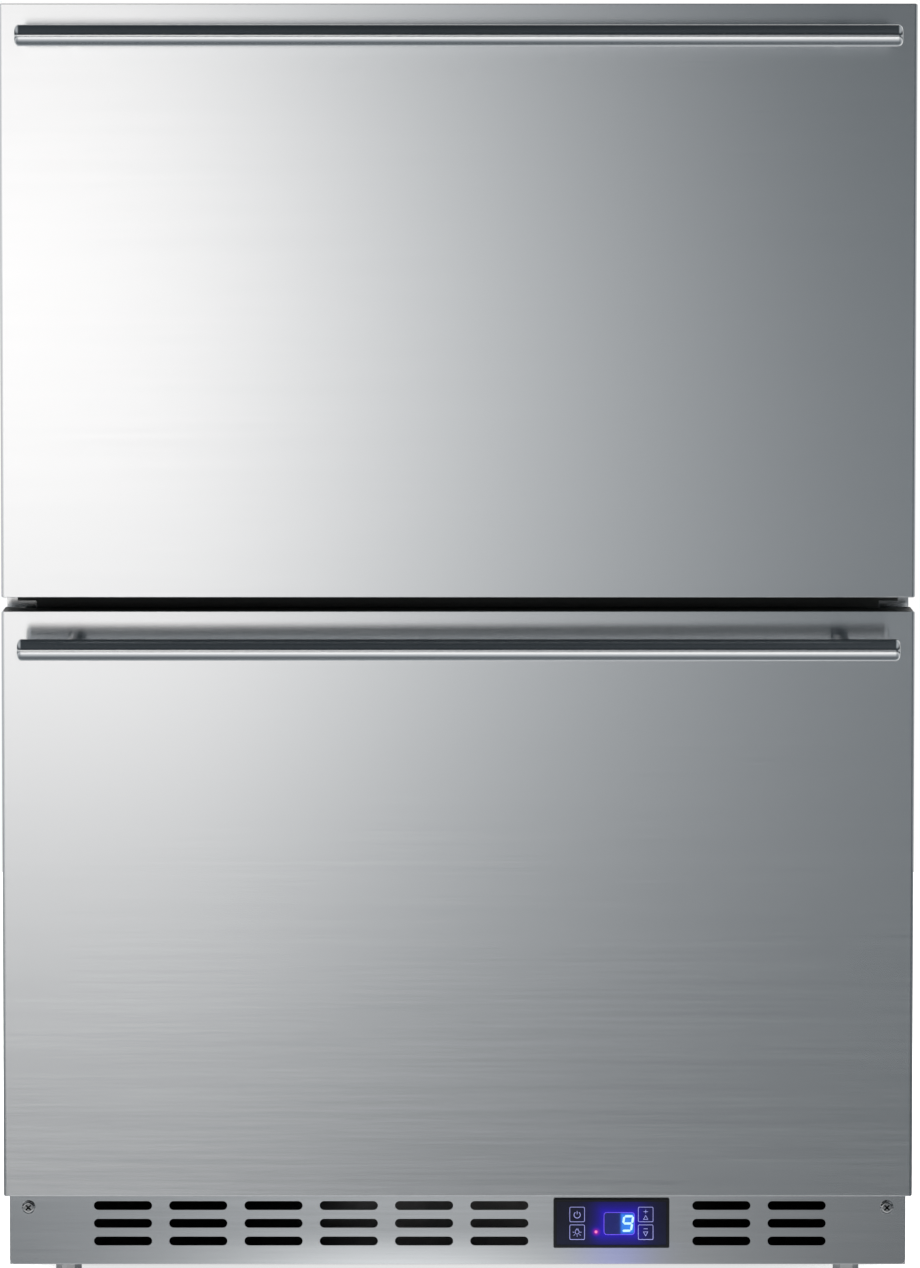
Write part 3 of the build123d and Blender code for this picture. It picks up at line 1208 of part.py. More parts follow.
def cabinet_pieces():
    """The pieces that stay with the cabinet."""
    return {
        "outer_shell": outer_shell(),
        "back_panel": back_panel(),
        "inner_liner": inner_liner(),
        "foam_insulation": foam_insulation(),
        "machine_deck": machine_deck(),
        "centre_mullion": centre_mullion(),
        "interior_lights": interior_lights(),
        "fixed_rails": fixed_rails(),
        "base_pan": base_pan(),
        "toe_grille": toe_grille(),
        "rear_cover": rear_cover(),
        "cover_screws": cover_screws(),
        "cord_gland": cord_gland(),
        "control_housing": control_housing(),
        "control_lens": control_lens(),
        "control_board": control_board(),
        "display_module": display_module(),
        "display_digits": display_digits(),
    }


def machinery_pieces():
    """The refrigeration machinery, at the back and in the base."""
    return {
        "compressor": compressor(),
        "compressor_relay_cover": compressor_relay_cover(),
        "compressor_mounts": compressor_mounts(),
        "condenser_coil": condenser_coil(),
        "condenser_fan_shroud": condenser_fan_shroud(),
        "condenser_fan_motor": condenser_fan_motor(),
        "condenser_fan_blade": condenser_fan_frame() * fan_blade(CONDENSER_FAN),
        "refrigerant_tubes": refrigerant_tubes(),
        "condensate_drain": condensate_drain(),
        "power_box": power_box(),
        "evaporator_coil": evaporator_coil(),
        "evaporator_cover": evaporator_cover(),
        "evaporator_fan_motor": evaporator_fan_motor(),
        "evaporator_fan_blade": evaporator_fan_frame() * fan_blade(EVAPORATOR_FAN),
        "defrost_heater": defrost_heater(),
        "temperature_sensor": temperature_sensor(),
    }


def drawer_pieces(name, z0, z1, slide, slide_z, tub_shape):
    """One drawer: its front from z0 to z1, its slides and its tub."""
    return {
        f"{name}_front_skin": front_skin(z0, z1),
        f"{name}_end_caps": end_caps(z0, z1),
        f"{name}_front_foam": front_foam(z0, z1),
        f"{name}_inner_panel": inner_panel(z0, z1),
        f"{name}_seal": seal(z0, z1),
        f"{name}_handle": handle(z1),
        f"{name}_tub": tub_shape,
        f"{name}_inner_rails": inner_rails(slide, slide_z),
        f"{name}_middle_rails": middle_rails(slide, slide_z),
    }


def main():
    upper_tub = tub(UPPER_TUB_BACK, UPPER_RIM, UPPER_TUB_FLOOR)
    lower_tub = tub(LOWER_TUB_BACK, LOWER_RIM, LOWER_TUB_FLOOR)
    pieces = cabinet_pieces()
    pieces.update(machinery_pieces())
    pieces.update(drawer_pieces("upper", UPPER_BOTTOM, UPPER_TOP, UPPER_SLIDE, UPPER_SLIDE_Z, upper_tub))
    pieces.update(drawer_pieces("lower", LOWER_BOTTOM, LOWER_TOP, LOWER_SLIDE, LOWER_SLIDE_Z, lower_tub))
    for name, (x, z) in key_places().items():
        pieces[name] = key(x, z)
    for name, (x, y) in foot_places().items():
        pieces[name] = foot(x, y)
    os.makedirs("parts", exist_ok=True)
    for node, shape in pieces.items():
        save(node, shape)


main()
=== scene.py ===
from math import cos, pi, radians, sin

import bmesh
import bpy
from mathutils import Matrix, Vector


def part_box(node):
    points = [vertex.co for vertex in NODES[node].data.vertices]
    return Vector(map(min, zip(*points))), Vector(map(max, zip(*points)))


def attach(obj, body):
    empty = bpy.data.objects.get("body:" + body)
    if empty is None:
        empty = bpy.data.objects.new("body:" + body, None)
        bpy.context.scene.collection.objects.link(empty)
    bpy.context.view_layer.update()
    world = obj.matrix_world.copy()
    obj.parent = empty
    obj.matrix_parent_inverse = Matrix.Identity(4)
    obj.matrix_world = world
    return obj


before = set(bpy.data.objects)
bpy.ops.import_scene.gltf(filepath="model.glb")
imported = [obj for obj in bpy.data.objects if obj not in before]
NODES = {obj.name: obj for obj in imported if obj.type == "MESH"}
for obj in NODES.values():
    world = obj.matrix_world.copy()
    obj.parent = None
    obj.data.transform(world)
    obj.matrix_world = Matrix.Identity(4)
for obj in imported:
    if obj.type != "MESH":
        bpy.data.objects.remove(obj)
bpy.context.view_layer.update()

# Camera, fitted to the photograph's 920 x 1268 pixels.
IMAGE_HEIGHT = 1268
FOCAL = 6271.0  # pixels
CAMERA_X = -0.0165
CAMERA_HEIGHT = 0.853
CAMERA_DISTANCE = 4.08  # from the drawer fronts
CAMERA_TILT = 3.63  # degrees downwards
SHIFT_X = 27.2  # pixels
SHIFT_Y = -0.17  # share of the image height
SENSOR = 36.0  # millimetres


def grey(value):
    return (value, value, value, 1)


def shade(colour, factor):
    """The same colour, darker or brighter."""
    return tuple(channel * factor for channel in colour[:3]) + (1,)


def feed(tree, value, socket):
    """Link a node's output to a socket, or set a plain value there."""
    if isinstance(value, bpy.types.NodeSocket):
        tree.links.new(value, socket)
    else:
        socket.default_value = value


def add_object(name, data):
    made = bpy.data.objects.new(name, data)
    bpy.context.scene.collection.objects.link(made)
    return made


def add_solid(name, mesh, material):
    """An object from a finished bmesh."""
    bmesh.ops.recalc_face_normals(mesh, faces=mesh.faces)
    data = bpy.data.meshes.new(name)
    mesh.to_mesh(data)
    mesh.free()
    data.materials.append(material)
    return add_object(name, data)


def add_sheet(name, corners, material):
    """An object of one flat face."""
    data = bpy.data.meshes.new(name)
    data.from_pydata(corners, [], [range(len(corners))])
    data.materials.append(material)
    return add_object(name, data)


# Materials


class Shader:
    """A material and short ways to add nodes to it."""

    def __init__(self, name, **sockets):
        self.material = bpy.data.materials.new(name)
        self.material.use_nodes = True
        self.tree = self.material.node_tree
        self.surface = self.tree.nodes["Principled BSDF"]
        for socket, value in sockets.items():
            self.surface.inputs[socket.replace("_", " ")].default_value = value

    def node(self, kind, **settings):
        made = self.tree.nodes.new(kind)
        for key, value in settings.items():
            setattr(made, key, value)
        return made

    def link(self, output, target):
        if isinstance(target, str):
            target = self.surface.inputs[target]
        self.tree.links.new(output, target)

    def place(self, scale):
        """Object coordinates, scaled evenly or by axis."""
        coordinates = self.node("ShaderNodeTexCoord")
        mapping = self.node("ShaderNodeMapping")
        mapping.inputs["Scale"].default_value = (scale,) * 3 if isinstance(scale, int) else scale
        self.link(coordinates.outputs["Object"], mapping.inputs["Vector"])
        return mapping.outputs["Vector"]

    def noise(self, scale, detail=2):
        noise = self.node("ShaderNodeTexNoise")
        noise.inputs["Scale"].default_value = 1.0
        noise.inputs["Detail"].default_value = detail
        self.link(self.place(scale), noise.inputs["Vector"])
        return noise.outputs["Fac"]

    def cells(self, scale, feature="F1"):
        cells = self.node("ShaderNodeTexVoronoi", feature=feature)
        cells.inputs["Scale"].default_value = 1.0
        self.link(self.place(scale), cells.inputs["Vector"])
        return cells

    def ramp(self, value, span, out=(0, 1)):
        """The span of values stretched to another one, which the result never leaves."""
        ramp = self.node("ShaderNodeMapRange")
        for socket, number in zip(("From Min", "From Max", "To Min", "To Max"), (*span, *out)):
            ramp.inputs[socket].default_value = number
        self.link(value, ramp.inputs["Value"])
        return ramp.outputs["Result"]

    def blend(self, factor, one, two):
        mix = self.node("ShaderNodeMix", data_type="RGBA")
        colours = [socket for socket in mix.inputs if socket.type == "RGBA"]
        for socket, value in zip(colours, (one, two)):
            feed(self.tree, value, socket)
        self.link(factor, mix.inputs["Factor"])
        return next(socket for socket in mix.outputs if socket.type == "RGBA")

    def maths(self, operation, one, two=0):
        made = self.node("ShaderNodeMath", operation=operation)
        for socket, value in zip(made.inputs, (one, two)):
            feed(self.tree, value, socket)
        return made.outputs["Value"]

    def along(self, axis):
        """One of the object coordinates."""
        split = self.node("ShaderNodeSeparateXYZ")
        self.link(self.place(1), split.inputs["Vector"])
        return split.outputs[axis]

    def away(self, centre, half):
        """How far a point is outside a rectangle in x and z."""
        squares = []
        for axis, middle, reach in zip("XZ", centre, half):
            offset = self.maths("ABSOLUTE", self.maths("ADD", self.along(axis), -middle))
            outside = self.maths("MAXIMUM", self.maths("ADD", offset, -reach), 0)
            squares.append(self.maths("POWER", outside, 2))
        return self.maths("POWER", self.maths("ADD", *squares), 0.5)

    def halo(self, distance, fade):
        """1 at no distance, dying away over the fade length."""
        return self.maths("EXPONENT", self.maths("MULTIPLY", distance, -1 / fade))

    def bell(self, x, width):
        """1 at one x, dying away evenly to both sides."""
        offset = self.maths("MULTIPLY", self.maths("ADD", self.along("X"), -x), 1 / width)
        square = self.maths("MULTIPLY", offset, offset)
        return self.maths("EXPONENT", self.maths("MULTIPLY", square, -1))

    def bump(self, height, strength, distance):
        bump = self.node("ShaderNodeBump")
        bump.inputs["Strength"].default_value = strength
        bump.inputs["Distance"].default_value = distance
        self.link(height, bump.inputs["Height"])
        self.link(bump.outputs["Normal"], "Normal")


STEEL = (0.70, 0.716, 0.73, 1)
NOISE = (0.3, 0.7)  # the span that nearly all of a noise lies in
TWO_NOISES = (0.6, 1.4)  # the same for the sum of two
FINE_SCRATCHES = (40, 2600, 3)  # noise scale along and across them, and detail
BROAD_SCRATCHES = (6, 500, 2)


def brushed(name, colour, rough, grain, smear=0.0, tangent=None, behind=None):
    """Stainless steel with fine scratches along one axis; behind = (y, roughness behind it)."""
    s = Shader(name, Metallic=1.0, Anisotropic=smear)
    fine, broad = (s.noise([along if axis == grain else across for axis in "xyz"], detail)
                   for along, across, detail in (FINE_SCRATCHES, BROAD_SCRATCHES))
    streaks = s.maths("ADD", fine, broad)
    s.link(s.blend(s.ramp(streaks, TWO_NOISES), shade(colour, 0.97), shade(colour, 1.02)), "Base Color")
    if behind:
        border, rough_behind = behind
        rough = s.ramp(s.along("Y"), (border, border + 0.001), (rough, rough_behind))
    s.link(s.maths("ADD", s.ramp(streaks, TWO_NOISES, (-0.01, 0.01)), rough), "Roughness")
    s.bump(fine, 0.02, 0.00005)
    if tangent:
        vector = s.node("ShaderNodeCombineXYZ")
        for socket, value in zip(vector.inputs, tangent):
            socket.default_value = value
        s.link(vector.outputs["Vector"], "Tangent")
    return s.material


def screw_steel():
    """Dull steel, with painted shade in the cross recess."""
    s = Shader("screw_steel", Metallic=1.0)
    # Painted shade: ambient occlusion turns the cross recess and other tight corners near black.
    corners = s.node("ShaderNodeAmbientOcclusion")
    corners.inputs["Distance"].default_value = 0.002
    unshaded = s.ramp(corners.outputs["AO"], (0.72, 0.97))
    s.link(s.blend(unshaded, grey(0.004), shade(STEEL, 0.5)), "Base Color")
    s.link(s.ramp(s.noise(900), NOISE, (0.14, 0.2)), "Roughness")
    return s.material


def moulded(name, colour, rough, grain=900, depth=0.00005, gloss=0.5):
    """Plastic, rubber or paint with a fine moulded grain and slight unevenness."""
    s = Shader(name, Specular_IOR_Level=gloss)
    fine = s.noise(grain)
    broad = s.noise(9, 3)
    s.link(s.blend(s.ramp(broad, NOISE), shade(colour, 0.93), shade(colour, 1.05)), "Base Color")
    s.link(s.ramp(s.maths("ADD", fine, broad), TWO_NOISES, (rough - 0.05, rough + 0.05)), "Roughness")
    s.bump(fine, 0.4, depth)
    return s.material


def galvanised(name, colour, rough):
    """Zinc-coated sheet with its crystal flowers."""
    s = Shader(name, Metallic=1.0)
    flowers = s.cells(130)
    tone = s.node("ShaderNodeSeparateColor")
    s.link(flowers.outputs["Color"], tone.inputs["Color"])
    s.link(s.blend(tone.outputs["Red"], shade(colour, 0.86), shade(colour, 1.1)), "Base Color")
    s.link(s.ramp(tone.outputs["Green"], (0, 1), (rough - 0.08, rough + 0.08)), "Roughness")
    s.bump(s.noise(60, 3), 0.15, 0.0003)
    return s.material


def foamed(name, colour):
    """Rigid foam with open cut cells."""
    s = Shader(name, Roughness=0.95)
    depth = s.cells(700).outputs["Distance"]
    s.link(s.blend(s.ramp(depth, (0, 0.6)), shade(colour, 0.8), colour), "Base Color")
    s.bump(depth, 0.6, 0.0006)
    return s.material


def finned(name, colour, rough):
    """Rolled aluminium fins and tubes, dusty in patches."""
    s = Shader(name, Metallic=1.0)
    dust = s.noise(40, 4)
    s.link(s.blend(s.ramp(dust, (0.4, 0.7)), colour, shade(colour, 0.8)), "Base Color")
    s.link(s.ramp(dust, NOISE, (rough - 0.06, rough + 0.1)), "Roughness")
    s.bump(s.noise(500), 0.1, 0.0001)
    return s.material


def coppery(name):
    """Drawn copper with darker heat stains."""
    s = Shader(name, Metallic=1.0)
    stain = s.noise(22, 4)
    bright, dull = (0.80, 0.42, 0.27, 1), (0.42, 0.20, 0.12, 1)
    s.link(s.blend(s.ramp(stain, (0.45, 0.7)), bright, dull), "Base Color")
    s.link(s.ramp(stain, NOISE, (0.22, 0.42)), "Roughness")
    s.bump(s.noise(900), 0.1, 0.00005)
    return s.material


def boarded(name):
    """Green circuit board with paler tracks."""
    s = Shader(name, Roughness=0.45)
    tracks = s.cells((260, 260, 420), "DISTANCE_TO_EDGE")
    edge = s.ramp(tracks.outputs["Distance"], (0.04, 0.06), (1, 0))
    board, track = (0.02, 0.16, 0.06, 1), (0.10, 0.34, 0.14, 1)
    s.link(s.blend(edge, board, track), "Base Color")
    s.bump(edge, 0.3, 0.00005)
    return s.material


def glowing(name, colour, strength, spread=0.15):
    """Lit plastic whose brightness varies a little across it."""
    s = Shader(name, Roughness=0.3, Base_Color=colour)
    unevenness = s.noise(300)
    s.link(s.blend(unevenness, shade(colour, 0.9), colour), "Emission Color")
    s.link(s.ramp(unevenness, NOISE, (strength * (1 - spread), strength * (1 + spread))), "Emission Strength")
    return s.material


def dress(material, *names):
    for name in names:
        for slot in NODES[name].material_slots:
            slot.material = material


def both(*parts):
    """The names of these parts of both drawers."""
    return [f"{drawer}_{part}" for part in parts for drawer in ("upper", "lower")]


SHELL_BORDER = (-0.2274, 0.36)  # the shell is duller behind its front flange

dress(brushed("front_steel", STEEL, 0.14, "x", smear=0.8, tangent=(0, 0, 1)), *both("front_skin"))
dress(brushed("shell_steel", shade(STEEL, 0.84), 0.16, "y", behind=SHELL_BORDER), "outer_shell")
dress(brushed("handle_steel", shade(STEEL, 1.04), 0.2, "x"), *both("handle"))
dress(brushed("grille_steel", shade(STEEL, 0.96), 0.1, "x"), "toe_grille")
dress(brushed("tub_steel", shade(STEEL, 0.9), 0.30, "y"), *both("tub"))
dress(screw_steel(), "cover_screws")
dress(galvanised("zinc_sheet", (0.55, 0.57, 0.58, 1), 0.42), "back_panel", "machine_deck", "rear_cover")
# The base pan is painted near black as shade: it stands for the unlit machine room seen through the toe grille's
# slots.
dress(moulded("pan_painted_shade", (0.03, 0.03, 0.032, 1), 0.5, grain=500, depth=0.00008), "base_pan")
dress(brushed("slide_zinc", (0.62, 0.63, 0.64, 1), 0.3, "y"), "fixed_rails", *both("inner_rails", "middle_rails"))
feet = [name for name in NODES if name.startswith("foot_")]
dress(galvanised("foot_zinc", (0.5, 0.51, 0.52, 1), 0.35), *feet)
dress(moulded("white_plastic", (0.82, 0.83, 0.83, 1), 0.38), "inner_liner", "evaporator_cover",
      "temperature_sensor", *both("inner_panel"))
dress(brushed("mullion_steel", shade(STEEL, 0.9), 0.34, "x"), "centre_mullion")
cap_plastic = moulded("cap_plastic", (0.018, 0.021, 0.020, 1), 0.5)
dress(cap_plastic, *both("end_caps"))
dress(moulded("seal_rubber", (0.025, 0.027, 0.027, 1), 0.62), *both("seal"))
dress(moulded("black_plastic", (0.02, 0.02, 0.021, 1), 0.5), "cord_gland", "compressor_relay_cover",
      "condenser_fan_shroud", "condenser_fan_blade", "evaporator_fan_blade")
dress(moulded("grey_plastic", (0.22, 0.23, 0.24, 1), 0.45), "power_box", "condensate_drain")
dress(moulded("mount_rubber", (0.018, 0.018, 0.018, 1), 0.75), "compressor_mounts")
dress(moulded("black_enamel", (0.012, 0.012, 0.013, 1), 0.22, grain=300, depth=0.0001), "compressor")
dress(moulded("motor_paint", (0.16, 0.17, 0.18, 1), 0.4), "condenser_fan_motor", "evaporator_fan_motor")
dress(moulded("bezel_plastic", (0.006, 0.007, 0.010, 1), 0.2, gloss=0.25), "control_housing")
dress(foamed("foam", (0.80, 0.68, 0.42, 1)), "foam_insulation", *both("front_foam"))
dress(finned("fin_aluminium", (0.78, 0.79, 0.80, 1), 0.3), "evaporator_coil")
dress(finned("condenser_metal", (0.16, 0.165, 0.17, 1), 0.45), "condenser_coil")
dress(finned("heater_steel", (0.42, 0.39, 0.37, 1), 0.35), "defrost_heater")
dress(coppery("copper"), "refrigerant_tubes")
dress(boarded("circuit_board"), "control_board")
dress(glowing("light_diffuser", (0.95, 0.97, 1.0, 1), 0.6), "interior_lights")


# Dark strip between the two drawers' seals, standing in for the shade in the gap


TRIM_REACH = 0.2905  # half the width of its upper part
TRIM_SHORT = 0.278  # and of its lower part
TRIM_TOP, TRIM_STEP, TRIM_BOTTOM = 0.484, 0.4709, 0.461
TRIM_THICKNESS = 0.0025
TRIM_EDGE = 0.0006  # width of its bevelled edges


def mullion_shade_strip():
    """Dark strip with a step in its ends, on the mullion and the cabinet's flange; its darkness is painted shade for
    the gap between the drawers.
    """
    outline = [(TRIM_REACH, TRIM_TOP), (TRIM_REACH, TRIM_STEP), (TRIM_SHORT, TRIM_STEP), (TRIM_SHORT, TRIM_BOTTOM)]
    outline += [(-x, z) for x, z in reversed(outline)]
    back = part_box("centre_mullion")[0][1]
    mesh = bmesh.new()
    rings = [[mesh.verts.new((x, y, z)) for x, z in outline] for y in (back - TRIM_THICKNESS, back)]
    for ring in rings:
        mesh.faces.new(ring)
    for index in range(len(outline)):
        following = (index + 1) % len(outline)
        mesh.faces.new((rings[0][index], rings[0][following], rings[1][following], rings[1][index]))
    # The dark plastic here is painted shade: it stands for the shadow in the gap between the drawers.
    made = add_solid("mullion_shade_strip", mesh, cap_plastic)
    bevel = made.modifiers.new("bevel", "BEVEL")
    bevel.width = TRIM_EDGE
    bevel.segments = 2
    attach(made, "cabinet")


mullion_shade_strip()


# Control panel


PANEL_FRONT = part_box("control_lens")[0][1]
# Centres and half sizes in x and z.
DISPLAY_CENTRE = (0.1073, 0.05585)
DISPLAY_HALF = (0.0103, 0.0076)
DIGIT_CENTRE = (0.1129, 0.05585)
DIGIT_HALF = (0.0037, 0.0056)
STATUS_CENTRE = (0.0919, 0.0502)
# Spans of x from one thing to the next.
CELL_TO_CELL = (0.1076, 0.1088)
STATUS_TO_DIGIT = (0.096, 0.098)
# Lengths over which the light dies away.
BLUE_FADE = 0.0046
STATUS_FADE = 0.0015
DIGIT_FADE = 0.0007
PRINT = 0.00005  # how far printed lines stand out from their face, and as far they reach into it


def panel_face():
    """Navy face with a painted glow where the lit display and the status light shine into it."""
    s = Shader("panel_face", Roughness=0.22, Specular_IOR_Level=0.2)
    s.link(s.blend(s.noise(60, 3), (0.007, 0.009, 0.026, 1), (0.011, 0.013, 0.036, 1)), "Base Color")
    # Painted glow: the face itself emits blue round the display and red round the status light, standing in for their
    # spreading light.
    blue = s.halo(s.away(DISPLAY_CENTRE, DISPLAY_HALF), BLUE_FADE)
    red = s.halo(s.away(STATUS_CENTRE, (0, 0)), STATUS_FADE)
    s.link(s.blend(s.ramp(red, (0.1, 0.7)), (0.03, 0.0, 1, 1), (0.9, 0.0, 0.3, 1)), "Emission Color")
    s.link(s.maths("ADD", s.maths("MULTIPLY", blue, 0.42), red), "Emission Strength")
    return s.material


def display_face():
    """Two digit cells: the left one dark, the right one lit around its digit."""
    s = Shader("display_face", Roughness=0.25, Specular_IOR_Level=0.2, Base_Color=(0.01, 0.012, 0.05, 1))
    dark, lit, close = (0.006, 0.010, 0.11, 1), (0.012, 0.07, 0.58, 1), (0.03, 0.22, 0.82, 1)
    cells = s.blend(s.ramp(s.along("X"), CELL_TO_CELL), dark, lit)
    near = s.halo(s.away(DIGIT_CENTRE, DIGIT_HALF), DIGIT_FADE)
    s.link(s.blend(near, cells, close), "Emission Color")
    s.link(s.ramp(s.noise(400), NOISE, (0.9, 1.1)), "Emission Strength")
    return s.material


def lit_digits():
    """Pale cyan digit and the pink status light beside it."""
    s = Shader("lit_digits", Roughness=0.3, Specular_IOR_Level=0.2, Base_Color=grey(0.02))
    pink, cyan = (1.0, 0.22, 0.55, 1), (0.62, 0.96, 1.0, 1)
    s.link(s.blend(s.ramp(s.along("X"), STATUS_TO_DIGIT), pink, cyan), "Emission Color")
    s.link(s.ramp(s.noise(500), NOISE, (0.95, 1.1)), "Emission Strength")
    return s.material


def printed(name, colour, glow):
    """Printed line with slightly uneven ink."""
    s = Shader(name, Roughness=0.4, Emission_Strength=glow)
    s.link(s.blend(s.noise(900), shade(colour, 0.85), colour), "Base Color")
    s.link(s.blend(s.noise(700), shade(colour, 0.9), colour), "Emission Color")
    return s.material


def rounded(width, height, corner, steps=6):
    """Closed outline of a rounded rectangle, in x and z."""
    points = []
    for turn, (side, top) in enumerate(((1, 1), (-1, 1), (-1, -1), (1, -1))):
        for step in range(steps + 1):
            angle = (turn + step / steps) * pi / 2
            points.append((side * (width / 2 - corner) + corner * cos(angle),
                           top * (height / 2 - corner) + corner * sin(angle)))
    return points


def arc(radius, start, end, centre=(0, 0), steps=20):
    """Points on a circle between two angles in degrees, in x and z."""
    angles = [radians(start + (end - start) * step / steps) for step in range(steps + 1)]
    return [(centre[0] + radius * cos(angle), centre[1] + radius * sin(angle)) for angle in angles]


def stroke(mesh, path, width, closed, front):
    """A flat raised line along a path in x and z, with mitred corners."""
    points = [Vector(point) for point in path]
    count = len(points)
    rings = []
    for index, point in enumerate(points):
        before = points[index - 1] if closed or index else None
        after = points[(index + 1) % count] if closed or index < count - 1 else None
        sides = []
        for one, two in ((before, point), (point, after)):
            if one is not None and two is not None:
                step = (two - one).normalized()
                sides.append(Vector((-step.y, step.x)))
        across = sum(sides, Vector((0, 0)))
        across *= width / 2 / (across.dot(sides[0]))
        flat = [point + across, point - across]
        rings.append([mesh.verts.new((place.x, y, place.y)) for y in (front, front + 2 * PRINT) for place in flat])
    for index in range(count if closed else count - 1):
        one, two = rings[index], rings[(index + 1) % count]
        for near, far in ((0, 1), (2, 0), (1, 3), (3, 2)):
            mesh.faces.new((one[near], one[far], two[far], two[near]))


def print_lines(name, body, material, front, centre, lines):
    """One printed piece made of lines given as (path, width, closed), in millimetres from its centre."""
    mesh = bmesh.new()
    for path, width, closed in lines:
        placed = [(centre[0] + x / 1000, centre[1] + z / 1000) for x, z in path]
        stroke(mesh, placed, width / 1000, closed, front - PRINT)
    made = add_solid(name, mesh, material)
    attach(made, body)


# Line widths, outlines and signs in millimetres.
BOLD = 0.42
THIN = 0.32
KEY_FRAME = (rounded(9.8, 9.8, 0.8), 0.34, True)
DISPLAY_FRAME = (rounded(20.2, 14.8, 1.9), 0.45, True)
KEY_SIGNS = {
    "power": [(arc(2.1, 125, 415, (0, -0.3)), BOLD, False), ([(0, 2.2), (0, 0.2)], BOLD, False)],
    "light": [([(-0.65, 1.3), (-0.65, 2.1), (0.65, 2.1), (0.65, 1.3)], THIN, False),
              (arc(1.35, 120, 420, (0, 0.1)), THIN, False),
              ([(-2.9, 0), (-1.9, 0)], THIN, False),
              ([(1.9, 0), (2.9, 0)], THIN, False),
              ([(-2.3, -2.2), (-1.6, -1.5)], THIN, False),
              ([(1.6, -1.5), (2.3, -2.2)], THIN, False),
              ([(0, -2.0), (0, -3.0)], THIN, False)],
    "up": [([(-1.5, 1.9), (1.5, 1.9)], THIN, False),
           ([(0, 3.1), (0, 0.7)], THIN, False),
           ([(0, -0.7), (-1.45, -3.3), (1.45, -3.3)], THIN, True)],
    "down": [([(-1.4, 2.3), (1.4, 2.3)], THIN, False),
             ([(-1.45, 0.2), (0, -2.5), (1.45, 0.2)], THIN, True)],
}

keys = [name for name in NODES if name.startswith("key_")]
dress(panel_face(), "control_lens", *keys)
dress(display_face(), "display_module")
dress(lit_digits(), "display_digits")
key_ink = printed("key_ink", (0.32, 0.33, 0.72, 1), 0.8)
for sign, lines in KEY_SIGNS.items():
    low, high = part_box(f"key_{sign}")
    middle = ((low[0] + high[0]) / 2, (low[2] + high[2]) / 2)
    print_lines(f"{sign}_key_print", f"{sign}_key", key_ink, low[1], middle, [KEY_FRAME] + lines)
display_ink = printed("display_ink", (0.13, 0.07, 0.75, 1), 0.8)
print_lines("display_outline", "cabinet", display_ink, PANEL_FRONT, DISPLAY_CENTRE, [DISPLAY_FRAME])


# Stage, lights and camera


# Brightness of the room by direction, in stops of (part of the direction, brightness). There is a wall, bright at the
# left and at eye level, whose pattern moves to the left with height; the ground in front of it, dimmer at both sides;
# and overhead a dark space between two wide soft boxes.
WALL_LEVEL = 1.7
LEAN_START = -0.045  # the height above which the pattern moves
LEAN = 0.3
ACROSS = ((-1, 0.5), (-0.3, 0.8), (-0.068, 1.0), (-0.05, 0.99), (-0.038, 0.95), (-0.0216, 0.785), (-0.0056, 0.62),
          (0.004, 0.518), (0.0137, 0.43), (0.0265, 0.332), (0.0425, 0.234), (0.0585, 0.143), (0.0754, 0.085),
          (0.1, 0.07), (0.3, 0.06), (0.8, 0.1), (1, 0.4))
HEIGHT = ((-1, 0), (-0.26, 0), (-0.2, 0.018), (-0.165, 0.1), (-0.133, 0.44), (-0.107, 0.715), (-0.085, 0.87),
          (-0.045, 1.0), (0.0, 0.925), (0.03, 0.84), (0.07, 0.3), (0.1, 0.02), (0.2, 0), (1, 0))
GROUND_LEVEL = 1.5
NEARBY = ((-1, 0.5), (-0.35, 0.55), (-0.15, 1), (0.15, 1), (0.35, 0.55), (1, 0.5))
GROUND = ((-1, 0.1), (-0.98, 0.14), (-0.9, 0.24), (-0.8, 0.39), (-0.66, 0.56), (-0.5, 0.8), (-0.36, 1.0),
          (-0.3, 0.68), (-0.26, 0.11), (-0.2, 0.05), (-0.165, 0.086), (-0.1, 0.152), (-0.05, 0.098), (0.0, 0.06),
          (0.1, 0.02), (0.5, 0.01), (1, 0))
SOFT_BOXES = ((-1, 0.6), (-0.4, 0.45), (-0.15, 0.09), (0.15, 0.09), (0.4, 0.45), (1, 0.6))
OVERHEAD = ((-1, 0), (0.2, 0), (0.6, 1), (1, 1))
TINT = (1.11, 1.045, 1.0)  # powers of red, green and blue, which make the dim parts slightly blue
# How much of the white backdrop metal shows, by y and by z.
BEHIND = ((-1, 0), (0.5, 0), (0.9, 1), (1, 1))
BACKDROP = ((-1, 1), (0.4, 1), (0.65, 0), (1, 0))


